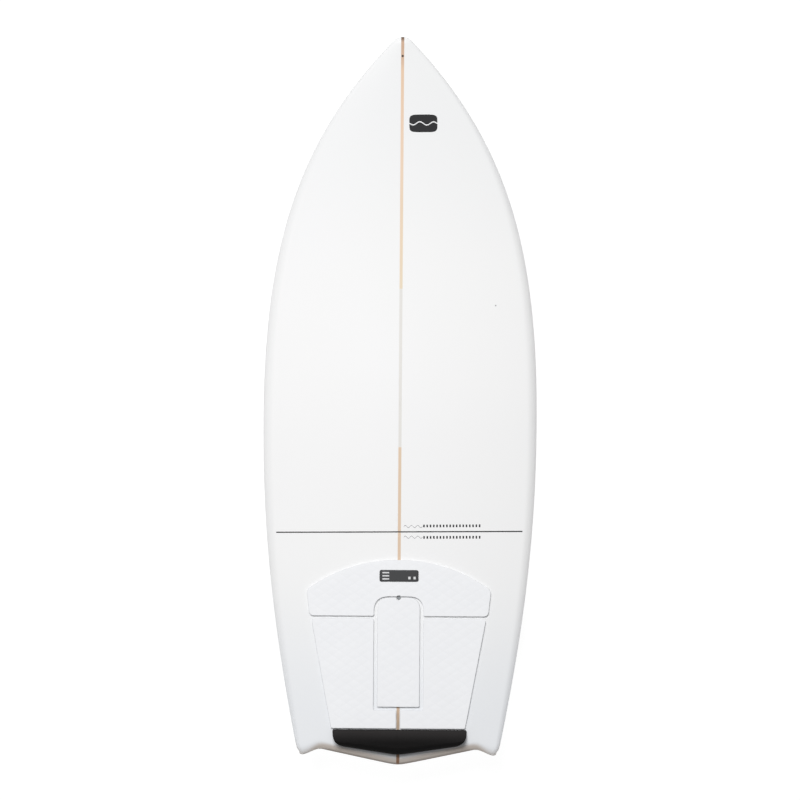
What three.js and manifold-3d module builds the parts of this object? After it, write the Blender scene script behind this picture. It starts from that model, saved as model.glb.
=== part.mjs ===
// A short, wide wakesurf board: a foam core with a wooden stringer under a laminate skin, three fins that
// slide out of their boxes, a vent in the deck and a foam traction pad with a kicker at the tail.
// Millimetres. +X points to the nose, +Y to the left rail, +Z up out of the deck. The origin is on the
// hull bottom, at the middle of its flat spot. A station is a distance back from the nose tip.
import * as THREE from "three";
import { mergeVertices } from "three/addons/utils/BufferGeometryUtils.js";
import Module from "manifold-3d";

const wasm = await Module();
wasm.setup();

// Driving dimensions of the hull.
const LENGTH = 1400;
const HALF_WIDTH = 263.1;
const WIDE_STATION = 735;
const THICKNESS = 55;
const THICK_STATION = 680;
const NOSE_THICKNESS = 12;
const TAIL_THICKNESS = 24;
const NOSE_ROCKER = 88;
const TAIL_ROCKER = 38;
const FLAT_FRONT = 640;
const FLAT_BACK = 760;
const ROCKER_POWER = { nose: 2.3, tail: 2.2 };
const THICKNESS_POWER = { nose: 2.4, tail: 2.2 };
const MID_X = LENGTH / 2;

// Outline: a round nose, two curves that meet at the wide point, and a bat tail with a wing at each side.
const NOSE_RADIUS = 24.3;
const NOSE_JOIN = 7.4;
const TAIL_SLOPE = 0.213;
const TIP_ROUND = 10;
const WING_LENGTH = 20;
const WING_FROM = 146;
const WING_TO = 190;
const WING_RADIUS = 14;
const WING_CENTRE_Y = 181.7;
const WING_CENTRE_STATION = 1366;
const CORNER_STATION = WING_CENTRE_STATION + WING_RADIUS * Math.SQRT1_2;
const WIDE_POINT = [WIDE_STATION, HALF_WIDTH];
const NOSE_CURVE = curve2([NOSE_JOIN, 17.5], [200.7, 203.9], [408.6, HALF_WIDTH], WIDE_POINT);
const TAIL_CURVE = curve2(WIDE_POINT, [904.4, HALF_WIDTH], [1089, 252.9], [1384, 192]);

// Cross section: the rail's widest line lies this share of the thickness above the bottom. Above it the
// deck is a low crown, and the rail's round takes the rest of the rise.
const RAIL_APEX = 0.38;
const RAIL_ROUND = 0.53;
const NOSE_BOTTOM_POWER = 5;
const TAIL_BOTTOM_POWER = 12;
const NOSE_ROUND = 14;
const TAIL_DECK_ROUND = 18;
const TAIL_EDGE_ROUND = 7;

// Mesh lines of the hull: lines across it, back from the nose, and steps from the stringer to the rail.
const ROUND_STEPS = [0, 0.3, 0.6, 1];
const PLAIN_LINES = [26, 45, 75, 120, 180, 255, 345, 440, 540, FLAT_FRONT, FLAT_BACK, 860, 950, 1030, 1105];
const REAR_LINES = [1175, 1240, 1295, 1335, 1364];
const BEND_FROM = 1240;
const RAIL_STEPS = [0, 0.28, 0.55, 0.78, 0.92, 0.95, 0.975, 0.993, 1];

// Build-up of the hull.
const GAP = 0.3;
const SKIN = 1;
const STRINGER = 6;

// Fins and their boxes. A fin's base is split evenly about its box, which opens at the hull bottom.
const BOX = { length: 128, width: 27, depth: 20 };
const TAB = { length: 18, width: 6, height: 14, from_centre: 33 };
const FIN_LIFT = 0.6;
const SCREW = { radius: 2.25, length: 6.5, tip_y: 4.7, tip_z: 7, lean: 35, key: 1.3, key_depth: 2.5 };
const BORE = { clear: 0.4, low: -0.6, high: 17.4 };
const FIN_TAPER = 0.78;
const TRAILING_EDGE = 0.35;
const SIDE_FIN = { base: 108, depth: 106, rake: 34, thickness: 6.8, flat_side: 0.75 };
const CENTRE_FIN = { base: 100, depth: 94, rake: 26, thickness: 6.4, flat_side: 0 };
const FINS = [
  { name: "left", station: 1122, y: 190, toe: -2.5, cant: 5, screw_side: -1, shape: SIDE_FIN },
  { name: "right", station: 1122, y: -190, toe: 2.5, cant: -5, screw_side: 1, shape: SIDE_FIN },
  { name: "center", station: 1262, y: 0, toe: 0, cant: 0, screw_side: 1, shape: CENTRE_FIN },
];

// Vent in the stringer line of the deck.
const VENT = { station: 1079.4, radius: 7, depth: 12, bore: 2.3, seat: 3.6, seat_depth: 3.3 };
const VENT_CLEAR = 0.4;
const VENT_SCREW = { head: 3.2, head_height: 1.8, stem: 1.8, length: 9, slot: 1, slot_depth: 0.8 };
const O_RING = { inner: 2.3, outer: 3.3, low: -3, high: -2.1 };

// Traction pad: a front pad with an arched front edge, two rear pads, a strip between them and a kicker.
const PAD = 5;
const ARCH = { station: 1006, radius: 300, half_angle: 35.4 };
const FRONT_PAD = { corner_y: 177, corner: 1064, back: 1114.2, back_y: 172 };
const CHANNEL_Y = 48;
const SLOT = { station: 1076.5, radius: 29 };
const STRIP = { front: 1078, back: 1289, y: 40.6, radius: 24 };
const REAR_PAD = { front: 1118.8, front_y: 168.5, back: 1330.6, back_y: 129, step: 1296, inner_y: 4 };
const KICKER = { front: 1332.6, y: 129, shift: -3, back: 1381.3, slope: 0.146, corner: 24 };
const KICKER_RAMP = { low: 5, high: 26, crest: 0.72, hollow: 1.6, fall: 0.8 };
const VENT_NOTCH = 5;
const LABEL = { station: 1036.6, length: 22.5, width: 75, radius: 4, thickness: 0.8 };

// Limits of the prisms that cut through the whole board.
const BELOW = -60;
const ABOVE = 200;

const MATERIALS = {
  laminate: material({ color: 0xf4f5f6, roughness: 0.22 }),
  foam: material({ color: 0xf3f1ea, roughness: 0.95 }),
  wood: material({ color: 0xdcc3a6, roughness: 0.6 }),
  fin: material({ color: 0x1d1f22, roughness: 0.35 }),
  box: material({ color: 0xe9eaeb, roughness: 0.4 }),
  steel: material({ color: 0xb4b6b8, roughness: 0.3, metalness: 1 }),
  vent: material({ color: 0xeceded, roughness: 0.4 }),
  vent_screw: material({ color: 0x75787b, roughness: 0.35, metalness: 0.9 }),
  rubber: material({ color: 0x1b1b1b, roughness: 0.7 }),
  pad: material({ color: 0xededef, roughness: 0.9 }),
  kicker: material({ color: 0x232222, roughness: 0.9 }),
  label: material({ color: 0x3a3b3d, roughness: 0.7 }),
};

function material(look) {
  return new THREE.MeshStandardMaterial(look);
}

function curve2(...points) {
  return new THREE.CubicBezierCurve(...points.map(([x, y]) => new THREE.Vector2(x, y)));
}

// ---- Solids and meshes ----

// A closed geometry as a solid, with its corners merged and its flat triangles dropped.
function solidOf(geometry, matrix = new THREE.Matrix4()) {
  const bare = new THREE.BufferGeometry();
  const source = geometry.index ? geometry.toNonIndexed() : geometry;
  bare.setAttribute("position", source.getAttribute("position").clone());
  bare.applyMatrix4(matrix);
  const merged = mergeVertices(bare, 1e-4);
  const corners = merged.index.array;
  const kept = [];
  for (let i = 0; i < corners.length; i += 3) {
    const [a, b, c] = corners.slice(i, i + 3);
    if (a !== b && b !== c && c !== a) kept.push(a, b, c);
  }
  const triVerts = new Uint32Array(kept);
  const vertProperties = merged.getAttribute("position").array;
  return new wasm.Manifold(new wasm.Mesh({ numProp: 3, vertProperties, triVerts }));
}

function meshOf(name, solid, look) {
  const { vertProperties, triVerts } = solid.getMesh();
  const indexed = new THREE.BufferGeometry();
  indexed.setAttribute("position", new THREE.BufferAttribute(vertProperties, 3));
  indexed.setIndex(new THREE.BufferAttribute(triVerts, 1));
  const geometry = indexed.toNonIndexed();
  geometry.computeVertexNormals();
  const mesh = new THREE.Mesh(geometry, look.clone());
  mesh.name = name;
  return mesh;
}

function geometryOf(corners) {
  return new THREE.BufferGeometry().setFromPoints(corners);
}

// The solid between two sheets, each a grid of points that runs back along i and to the left along j.
// The diagonals of the right half mirror those of the left half.
function sheetSolid(rows, columns, top, bottom) {
  const corners = [];
  const quad = (a, b, c, d) => corners.push(a, b, c, a, c, d);
  const mirrored = (a, b, c, d) => quad(b, c, d, a);
  for (let i = 0; i < rows; i += 1) {
    for (let j = 0; j < columns; j += 1) {
      const face = j < columns / 2 ? mirrored : quad;
      face(top(i, j), top(i, j + 1), top(i + 1, j + 1), top(i + 1, j));
      face(bottom(i, j), bottom(i + 1, j), bottom(i + 1, j + 1), bottom(i, j + 1));
    }
    quad(top(i, 0), top(i + 1, 0), bottom(i + 1, 0), bottom(i, 0));
    quad(top(i + 1, columns), top(i, columns), bottom(i, columns), bottom(i + 1, columns));
  }
  for (let j = 0; j < columns; j += 1) {
    quad(top(0, j + 1), top(0, j), bottom(0, j), bottom(0, j + 1));
    quad(top(rows, j), top(rows, j + 1), bottom(rows, j + 1), bottom(rows, j));
  }
  return solidOf(geometryOf(corners));
}

// A solid through rings of equal size, closed flat at both ends.
function loft(rings) {
  const corners = [];
  const count = rings[0].length;
  for (let k = 1; k < rings.length; k += 1) {
    for (let i = 0; i < count; i += 1) {
      const next = (i + 1) % count;
      corners.push(rings[k - 1][i], rings[k][next], rings[k - 1][next]);
      corners.push(rings[k - 1][i], rings[k][i], rings[k][next]);
    }
  }
  const last = rings[rings.length - 1];
  for (let i = 2; i < count; i += 1) {
    corners.push(rings[0][0], rings[0][i - 1], rings[0][i]);
    corners.push(last[0], last[i], last[i - 1]);
  }
  return solidOf(geometryOf(corners));
}

function prism(shape, low, high, matrix) {
  const options = { depth: high - low, bevelEnabled: false, curveSegments: 6 };
  const geometry = new THREE.ExtrudeGeometry(shape, options).translate(0, 0, low);
  return solidOf(geometry, matrix);
}

function boxSolid(width, depth, height, x, y, z, matrix) {
  return solidOf(new THREE.BoxGeometry(width, depth, height).translate(x, y, z), matrix);
}

// An upright round bar between two heights.
function bar(radius, low, high, sides = 12, tipRadius = radius) {
  const geometry = new THREE.CylinderGeometry(radius, tipRadius, high - low, sides);
  return solidOf(geometry.rotateX(Math.PI / 2).translate(0, 0, (low + high) / 2));
}

// A closed outline through corners given as [x, y, rounding].
function roundedShape(corners) {
  const shape = new THREE.Shape();
  const points = corners.map(([x, y]) => new THREE.Vector2(x, y));
  corners.forEach(([, , rounding = 0], k) => {
    const corner = points[k];
    const before = points.at(k - 1).clone().sub(corner).setLength(rounding).add(corner);
    const after = points[(k + 1) % points.length].clone().sub(corner).setLength(rounding).add(corner);
    if (k === 0) shape.moveTo(before.x, before.y);
    else shape.lineTo(before.x, before.y);
    if (rounding > 0) shape.quadraticCurveTo(corner.x, corner.y, after.x, after.y);
  });
  shape.closePath();
  return shape;
}

// ---- Hull form ----

function curveWidth(curve, station) {
  let low = 0;
  let high = 1;
  for (let step = 0; step < 40; step += 1) {
    const middle = (low + high) / 2;
    if (curve.getPoint(middle).x < station) low = middle;
    else high = middle;
  }
  return curve.getPoint(low).y;
}

// How far a quarter round has dropped, past its start.
function arcDrop(past, radius) {
  const run = THREE.MathUtils.clamp(past, 0, radius);
  return radius - Math.sqrt(radius ** 2 - run ** 2);
}

function railWidth(station) {
  const s = Math.min(station, CORNER_STATION);
  if (s < NOSE_JOIN) return Math.sqrt(NOSE_RADIUS ** 2 - (NOSE_RADIUS - s) ** 2);
  const width = curveWidth(s < WIDE_STATION ? NOSE_CURVE : TAIL_CURVE, s);
  return width - arcDrop(s - WING_CENTRE_STATION, WING_RADIUS);
}

// The tail's edge: a shallow vee to the centre tip, with a wing near each rail.
function tailStation(y) {
  const side = Math.abs(y);
  const vee = LENGTH - TAIL_SLOPE * (Math.hypot(side, TIP_ROUND) - TIP_ROUND);
  const wing = WING_LENGTH * THREE.MathUtils.smoothstep(side, WING_FROM, WING_TO);
  return vee + wing - arcDrop(side - WING_CENTRE_Y, WING_RADIUS);
}

function rocker(station) {
  const nose = Math.max(0, FLAT_FRONT - station) / FLAT_FRONT;
  const tail = Math.max(0, station - FLAT_BACK) / (LENGTH - FLAT_BACK);
  return NOSE_ROCKER * nose ** ROCKER_POWER.nose + TAIL_ROCKER * tail ** ROCKER_POWER.tail;
}

function thickness(station) {
  const nose = Math.max(0, THICK_STATION - station) / THICK_STATION;
  const tail = Math.max(0, station - THICK_STATION) / (LENGTH - THICK_STATION);
  const noseThinning = (THICKNESS - NOSE_THICKNESS) * nose ** THICKNESS_POWER.nose;
  const tailThinning = (THICKNESS - TAIL_THICKNESS) * tail ** THICKNESS_POWER.tail;
  return THICKNESS - noseThinning - tailThinning;
}

// The rise of a quarter ellipse, from 0 at an end's edge to 1 at its reach.
function endRound(distance, reach) {
  const left = THREE.MathUtils.clamp(1 - distance / reach, 0, 1);
  return Math.sqrt(1 - left ** 2);
}

// Heights at a plan point: of the rail line, and of the deck above it and the bottom below it.
function section(station, y) {
  const thick = thickness(station);
  const rise = (1 - RAIL_APEX) * thick;
  const width = Math.max(railWidth(station), 1e-6);
  const share = Math.min(1, Math.abs(y) / width);
  const rail = endRound(width * (1 - share), RAIL_ROUND * rise);
  const crown = (1 - RAIL_ROUND) * (1 - share ** 2) + RAIL_ROUND * rail;
  const power = THREE.MathUtils.lerp(NOSE_BOTTOM_POWER, TAIL_BOTTOM_POWER, station / LENGTH);
  const nose = endRound(station, NOSE_ROUND);
  const toTail = tailStation(y) - station;
  return {
    rail: rocker(station) + RAIL_APEX * thick + GAP / 2,
    rise,
    drop: RAIL_APEX * thick,
    deckShape: nose * crown * endRound(toTail, TAIL_DECK_ROUND),
    bottomShape: nose * Math.sqrt(1 - share ** power) * endRound(toTail, TAIL_EDGE_ROUND),
  };
}

function deckHeight(station, y) {
  const { rail, rise, deckShape } = section(station, y);
  return rail + GAP / 2 + rise * deckShape;
}

function bottomHeight(station, y) {
  const { rail, drop, bottomShape } = section(station, y);
  return rail - GAP / 2 - drop * bottomShape;
}

// ---- Hull mesh ----

// Lines across the hull. The rear ones bend by their share until the last ones follow the tail's edge.
function hullLines() {
  const nose = ROUND_STEPS.map((share) => ({ station: NOSE_ROUND * share ** 1.6, bend: 0 }));
  const middle = PLAIN_LINES.map((station) => ({ station, bend: 0 }));
  const rearEnd = LENGTH - TAIL_DECK_ROUND;
  const bend = (station) => Math.max(0, (station - BEND_FROM) / (rearEnd - BEND_FROM)) ** 1.5;
  const rear = REAR_LINES.map((station) => ({ station, bend: bend(station) }));
  const tail = ROUND_STEPS.map((share) => ({ station: LENGTH - TAIL_DECK_ROUND * share ** 1.6, bend: 1 }));
  return [...nose, ...middle, ...rear, ...tail.reverse()];
}

function onLine({ station, bend }, y) {
  return station + bend * (tailStation(y) - LENGTH);
}

// Half width at which a line meets the rail.
function lineEnd(line) {
  let low = 0;
  let high = HALF_WIDTH + 1;
  for (let step = 0; step < 50; step += 1) {
    const middle = (low + high) / 2;
    if (middle < railWidth(onLine(line, middle))) low = middle;
    else high = middle;
  }
  return low;
}

const SIDE_STEPS = RAIL_STEPS.length - 1;
const COLUMNS = 2 * SIDE_STEPS;
const PLAN = hullLines().map((line) => {
  const reach = lineEnd(line);
  return Array.from({ length: COLUMNS + 1 }, (_, j) => {
    const step = j - SIDE_STEPS;
    const y = Math.sign(step) * reach * RAIL_STEPS[Math.abs(step)];
    const station = onLine(line, y);
    return { station, y, width: railWidth(station), ...section(station, y) };
  });
});
const ROWS = PLAN.length - 1;

// A point of the hull form, moved inwards by an inset. The deck and the bottom keep a seam at the rail.
function insetPoint(spot, inset, height) {
  const x = (MID_X - spot.station) * (1 - inset / MID_X);
  const y = spot.y * (1 - inset / Math.max(spot.width, 10));
  return new THREE.Vector3(x, y, spot.rail + height);
}

function deckPoint(inset, lift = 0) {
  return (i, j) => {
    const spot = PLAN[i][j];
    return insetPoint(spot, inset, GAP / 2 + (spot.rise - inset) * spot.deckShape + lift);
  };
}

function bottomPoint(inset) {
  return (i, j) => {
    const spot = PLAN[i][j];
    return insetPoint(spot, inset, -GAP / 2 - (spot.drop - inset) * spot.bottomShape);
  };
}

function hullSolid(inset) {
  return sheetSolid(ROWS, COLUMNS, deckPoint(inset), bottomPoint(inset));
}

// The layer between two heights above the deck, with its sides upright.
function deckLayer(low, high) {
  return sheetSolid(ROWS, COLUMNS, deckPoint(0, high), deckPoint(0, low));
}

function slab(fromY, toY) {
  return boxSolid(LENGTH + 20, toY - fromY, ABOVE - BELOW, 0, (fromY + toY) / 2, (ABOVE + BELOW) / 2);
}

// ---- Fins and fin boxes ----

function finGroup({ station, y, toe, cant }) {
  const group = new THREE.Group();
  const slope = (rocker(station + 1) - rocker(station - 1)) / 2;
  const turn = THREE.MathUtils.degToRad;
  group.position.set(MID_X - station, y, bottomHeight(station, y));
  group.rotation.set(turn(cant), Math.atan(slope), turn(toe), "ZYX");
  group.updateMatrixWorld(true);
  return group;
}

function boxPrism(matrix, grow) {
  const length = BOX.length / 2 + grow;
  const half = BOX.width / 2 + grow;
  const shape = new THREE.Shape();
  shape.absarc(length - half, 0, half, -Math.PI / 2, Math.PI / 2, false);
  shape.absarc(half - length, 0, half, Math.PI / 2, -Math.PI / 2, false);
  return prism(shape, -BOX.depth, BOX.depth + grow, matrix);
}

function tabSolid(x, grow, low, matrix) {
  const high = TAB.height + grow;
  const width = TAB.width + 2 * grow;
  return boxSolid(TAB.length + 2 * grow, width, high - low, x, 0, (low + high) / 2, matrix);
}

function placeScrew(object, x, side) {
  object.position.set(x, side * SCREW.tip_y, SCREW.tip_z);
  object.rotation.x = Math.PI + side * THREE.MathUtils.degToRad(SCREW.lean);
  object.updateMatrix();
  return object;
}

// The bore of a grub screw, from inside the tab's pocket out through the box's face.
function screwBore(x, side, matrix) {
  const radius = SCREW.radius + BORE.clear;
  const bore = new THREE.CylinderGeometry(radius, radius, BORE.high - BORE.low, 12);
  bore.rotateX(Math.PI / 2).translate(0, 0, (BORE.low + BORE.high) / 2);
  const place = placeScrew(new THREE.Object3D(), x, side);
  return solidOf(bore, matrix.clone().multiply(place.matrix));
}

function finBox(hull, group, side) {
  let solid = boxPrism(group.matrixWorld, 0).intersect(hull);
  for (const x of [TAB.from_centre, -TAB.from_centre]) {
    solid = solid.subtract(tabSolid(x, GAP, -20, group.matrixWorld));
    solid = solid.subtract(screwBore(x, side, group.matrixWorld));
  }
  return solid;
}

function grubScrew() {
  const tip = bar(SCREW.radius, 0, 1, 12, SCREW.radius - 1);
  const body = bar(SCREW.radius, 1, SCREW.length);
  const key = bar(SCREW.key, SCREW.length - SCREW.key_depth, SCREW.length + 1, 6);
  return tip.add(body).subtract(key);
}

// Half thickness of a foil along its chord, for a full thickness of 1.
function foil(share) {
  const bow = 0.2969 * Math.sqrt(share) - 0.126 * share - 0.3516 * share ** 2 + 0.2843 * share ** 3;
  return 5 * (bow - 0.1015 * share ** 4);
}

// A raked fin blade, hung under its base. Its rings run round the foil from the leading edge.
function blade({ base, depth, rake, thickness: thick, flat_side: flat }, outward) {
  const half = base / 2;
  const tip = -half - rake;
  const sweep = [half * 0.55, -depth * 0.5];
  const leading = curve2([half, 0], sweep, [tip * 0.2, -depth * 0.97], [tip + 7, -depth]);
  const hollow = [-half * 0.78, -depth * 0.4];
  const trailing = curve2([-half, 0], hollow, [-half * 1.05, -depth * 0.7], [tip, -depth * 0.985]);
  const there = [0, 0.03, 0.12, 0.28, 0.5, 0.75, 1];
  const back = there.slice(1).reverse();
  const rings = [0, 0.12, 0.25, 0.4, 0.55, 0.7, 0.83, 0.93, 1].map((t) => {
    const front = leading.getPoint(t);
    const chord = trailing.getPoint(t).sub(front);
    const full = thick * (1 - FIN_TAPER * t);
    const point = (share, side) => {
      const width = full * foil(share) + TRAILING_EDGE * share;
      const y = side * outward * width * (1 + side * flat);
      return new THREE.Vector3(front.x + chord.x * share, y, front.y + chord.y * share - FIN_LIFT);
    };
    const ring = [...there.map((share) => point(share, 1)), ...back.map((share) => point(share, -1))];
    return outward > 0 ? ring : ring.reverse();
  });
  return loft(rings);
}

function finSolid(shape, outward) {
  let solid = blade(shape, outward);
  for (const x of [TAB.from_centre, -TAB.from_centre]) {
    solid = solid.add(tabSolid(x, 0, -FIN_LIFT - 1));
  }
  return solid;
}

// ---- Vent ----

function ventGroup() {
  const group = new THREE.Group();
  group.position.set(MID_X - VENT.station, 0, deckHeight(VENT.station, 0));
  group.updateMatrixWorld(true);
  return group;
}

function ventPrism(group, grow) {
  const z = group.position.z;
  return bar(VENT.radius + grow, z - VENT.depth - grow, z + 10, 24).translate(group.position.x, 0, 0);
}

function ventPlug(hull, group) {
  const { x, z } = group.position;
  const bore = bar(VENT.bore, z - 2 * VENT.depth, z + 5).translate(x, 0, 0);
  const seat = bar(VENT.seat, z - VENT.seat_depth, z + 5, 24).translate(x, 0, 0);
  return ventPrism(group, 0).intersect(hull).subtract(bore).subtract(seat);
}

function ventScrew() {
  const head = bar(VENT_SCREW.head, -VENT_SCREW.head_height, 0, 24);
  const stem = bar(VENT_SCREW.stem, -VENT_SCREW.length, -VENT_SCREW.head_height / 2);
  const slot = boxSolid(20, VENT_SCREW.slot, 2 * VENT_SCREW.slot_depth, 0, 0, 0);
  return head.add(stem).subtract(slot);
}

function oRing() {
  const { inner, outer, low, high } = O_RING;
  return bar(outer, low, high, 20).subtract(bar(inner, low - 1, high + 1, 20));
}

// ---- Traction pad ----

const padX = (station) => MID_X - station;

// Front pad: its front edge is an arc, and a rounded slot in its back edge holds the strip's end.
function frontPadShape() {
  const count = 12;
  const centre = padX(ARCH.station + ARCH.radius);
  const arc = Array.from({ length: count + 1 }, (_, k) => {
    const angle = THREE.MathUtils.degToRad(ARCH.half_angle * ((2 * k) / count - 1));
    return [centre + ARCH.radius * Math.cos(angle), ARCH.radius * Math.sin(angle)];
  });
  const { corner, corner_y: cornerY, back, back_y: backY } = FRONT_PAD;
  return roundedShape([
    ...arc,
    [padX(corner + 4), cornerY, 4],
    [padX(back), backY, 9],
    [padX(back), CHANNEL_Y, 3],
    [padX(SLOT.station), CHANNEL_Y, SLOT.radius],
    [padX(SLOT.station), -CHANNEL_Y, SLOT.radius],
    [padX(back), -CHANNEL_Y, 3],
    [padX(back), -backY, 9],
    [padX(corner + 4), -cornerY, 4],
  ]);
}

function stripShape() {
  return roundedShape([
    [padX(STRIP.back), -STRIP.y, 3],
    [padX(STRIP.front), -STRIP.y, STRIP.radius],
    [padX(STRIP.front), STRIP.y, STRIP.radius],
    [padX(STRIP.back), STRIP.y, 3],
  ]);
}

// Rear pad: it tapers to the kicker, and its back end reaches in behind the strip.
function rearPadShape(side) {
  const { front, front_y: frontY, back, back_y: backY, step, inner_y: innerY } = REAR_PAD;
  const corners = [
    [padX(back), backY * side, 3],
    [padX(front), frontY * side, 9],
    [padX(front), CHANNEL_Y * side, 4],
    [padX(step), CHANNEL_Y * side, 5],
    [padX(step), innerY * side, 2],
    [padX(back), innerY * side, 2],
  ];
  return roundedShape(side > 0 ? corners.reverse() : corners);
}

function kickerBack(y) {
  return KICKER.back - KICKER.slope * Math.abs(y);
}

// Kicker: it is glued on a little to the right, while its vee stays in line with the board's.
function kickerShape() {
  const right = KICKER.shift - KICKER.y;
  const left = KICKER.shift + KICKER.y;
  return roundedShape([
    [padX(kickerBack(right)), right, KICKER.corner],
    [padX(KICKER.front), right, 3],
    [padX(KICKER.front), left, 3],
    [padX(kickerBack(left)), left, KICKER.corner],
    [padX(KICKER.back), 0, 14],
  ]);
}

// Height of the kicker over the deck: a hollow ramp up to the crest, then a round fall to its back edge.
function kickerHeight(share) {
  const { low, high, crest, hollow, fall } = KICKER_RAMP;
  if (share < crest) return low + (high - low) * (share / crest) ** hollow;
  const past = Math.min(1, (share - crest) / (1 - crest));
  return low + (high - low) * Math.sqrt(1 - fall * past ** 2);
}

// The kicker's block before its outline is cut, with lines that run parallel to its back edge.
function kickerBlock() {
  const shares = [-0.1, 0, 0.2, 0.4, 0.58, KICKER_RAMP.crest, 0.82, 0.9, 0.96, 1, 1.1];
  const sides = [-1.05, -0.8, -0.5, -0.2, 0, 0.2, 0.5, 0.8, 1.05];
  const spot = (i, j) => {
    const y = KICKER.y * sides[j];
    const station = KICKER.front + shares[i] * (kickerBack(y) - KICKER.front);
    return { station, y };
  };
  const top = (i, j) => {
    const { station, y } = spot(i, j);
    const lift = GAP + kickerHeight(Math.max(0, shares[i]));
    return new THREE.Vector3(padX(station), y, deckHeight(Math.min(station, kickerBack(y)), y) + lift);
  };
  const bottom = (i, j) => top(i, j).setZ(BELOW);
  return sheetSolid(shares.length - 1, sides.length - 1, top, bottom);
}

function labelShape() {
  const front = padX(LABEL.station - LABEL.length / 2);
  const back = padX(LABEL.station + LABEL.length / 2);
  const half = LABEL.width / 2;
  const { radius } = LABEL;
  return roundedShape([
    [back, -half, radius],
    [front, -half, radius],
    [front, half, radius],
    [back, half, radius],
  ].reverse());
}

// ---- Assembly ----

const board = new THREE.Group();
const hull = hullSolid(0);
const core = hullSolid(SKIN + GAP);
const vent = ventGroup();
const finSets = FINS.map((fin) => ({ ...fin, group: finGroup(fin) }));

// Takes the room of the fin boxes and the vent plug out of a piece of the hull.
function withCutouts(solid) {
  let cut = solid.subtract(ventPrism(vent, VENT_CLEAR));
  for (const { group } of finSets) cut = cut.subtract(boxPrism(group.matrixWorld, GAP));
  return cut;
}

function addHull() {
  const half = STRINGER / 2;
  const wide = HALF_WIDTH + 20;
  const deckSkin = sheetSolid(ROWS, COLUMNS, deckPoint(0), deckPoint(SKIN));
  const bottomSkin = sheetSolid(ROWS, COLUMNS, bottomPoint(SKIN), bottomPoint(0));
  board.add(
    meshOf("foam_core_left", withCutouts(core.intersect(slab(half + GAP, wide))), MATERIALS.foam),
    meshOf("foam_core_right", withCutouts(core.intersect(slab(-wide, -half - GAP))), MATERIALS.foam),
    meshOf("stringer", withCutouts(core.intersect(slab(-half, half))), MATERIALS.wood),
    meshOf("deck_skin", withCutouts(deckSkin), MATERIALS.laminate),
    meshOf("bottom_skin", withCutouts(bottomSkin), MATERIALS.laminate),
  );
}

function addFins() {
  for (const { name, y, screw_side: side, shape, group } of finSets) {
    board.add(meshOf(`fin_box_${name}`, finBox(hull, group, side), MATERIALS.box));
    group.add(meshOf(`fin_${name}`, finSolid(shape, y < 0 ? -1 : 1), MATERIALS.fin));
    const places = { front: TAB.from_centre, rear: -TAB.from_centre };
    for (const [end, x] of Object.entries(places)) {
      group.add(placeScrew(meshOf(`grub_screw_${name}_${end}`, grubScrew(), MATERIALS.steel), x, side));
    }
    board.add(group);
  }
}

function addVent() {
  board.add(meshOf("vent_plug", ventPlug(hull, vent), MATERIALS.vent));
  vent.add(meshOf("vent_screw", ventScrew(), MATERIALS.vent_screw));
  vent.add(meshOf("vent_o_ring", oRing(), MATERIALS.rubber));
  board.add(vent);
}

function addPads() {
  const layer = deckLayer(GAP, GAP + PAD);
  const labelLayer = deckLayer(2 * GAP + PAD, 2 * GAP + PAD + LABEL.thickness);
  const notch = bar(VENT_NOTCH, BELOW, ABOVE, 24).translate(vent.position.x, 0, 0);
  const cutFrom = (shape, solid) => prism(shape, BELOW, ABOVE).intersect(solid);
  const floor = (i, j) => deckPoint(0)(i, j).setZ(2 * BELOW);
  const underKicker = sheetSolid(ROWS, COLUMNS, deckPoint(0, GAP), floor);
  const kicker = cutFrom(kickerShape(), kickerBlock()).subtract(underKicker);
  board.add(
    meshOf("pad_front", cutFrom(frontPadShape(), layer).subtract(notch), MATERIALS.pad),
    meshOf("pad_center_strip", cutFrom(stripShape(), layer).subtract(notch), MATERIALS.pad),
    meshOf("pad_rear_left", cutFrom(rearPadShape(1), layer), MATERIALS.pad),
    meshOf("pad_rear_right", cutFrom(rearPadShape(-1), layer), MATERIALS.pad),
    meshOf("pad_kicker", kicker, MATERIALS.kicker),
    meshOf("pad_label", cutFrom(labelShape(), labelLayer), MATERIALS.label),
  );
}

addHull();
addFins();
addVent();
addPads();

export default board;
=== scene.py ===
import math
from itertools import product

import bmesh
import bpy
import numpy as np
from mathutils import Euler, Matrix, Vector
from mathutils.geometry import delaunay_2d_cdt


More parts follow.
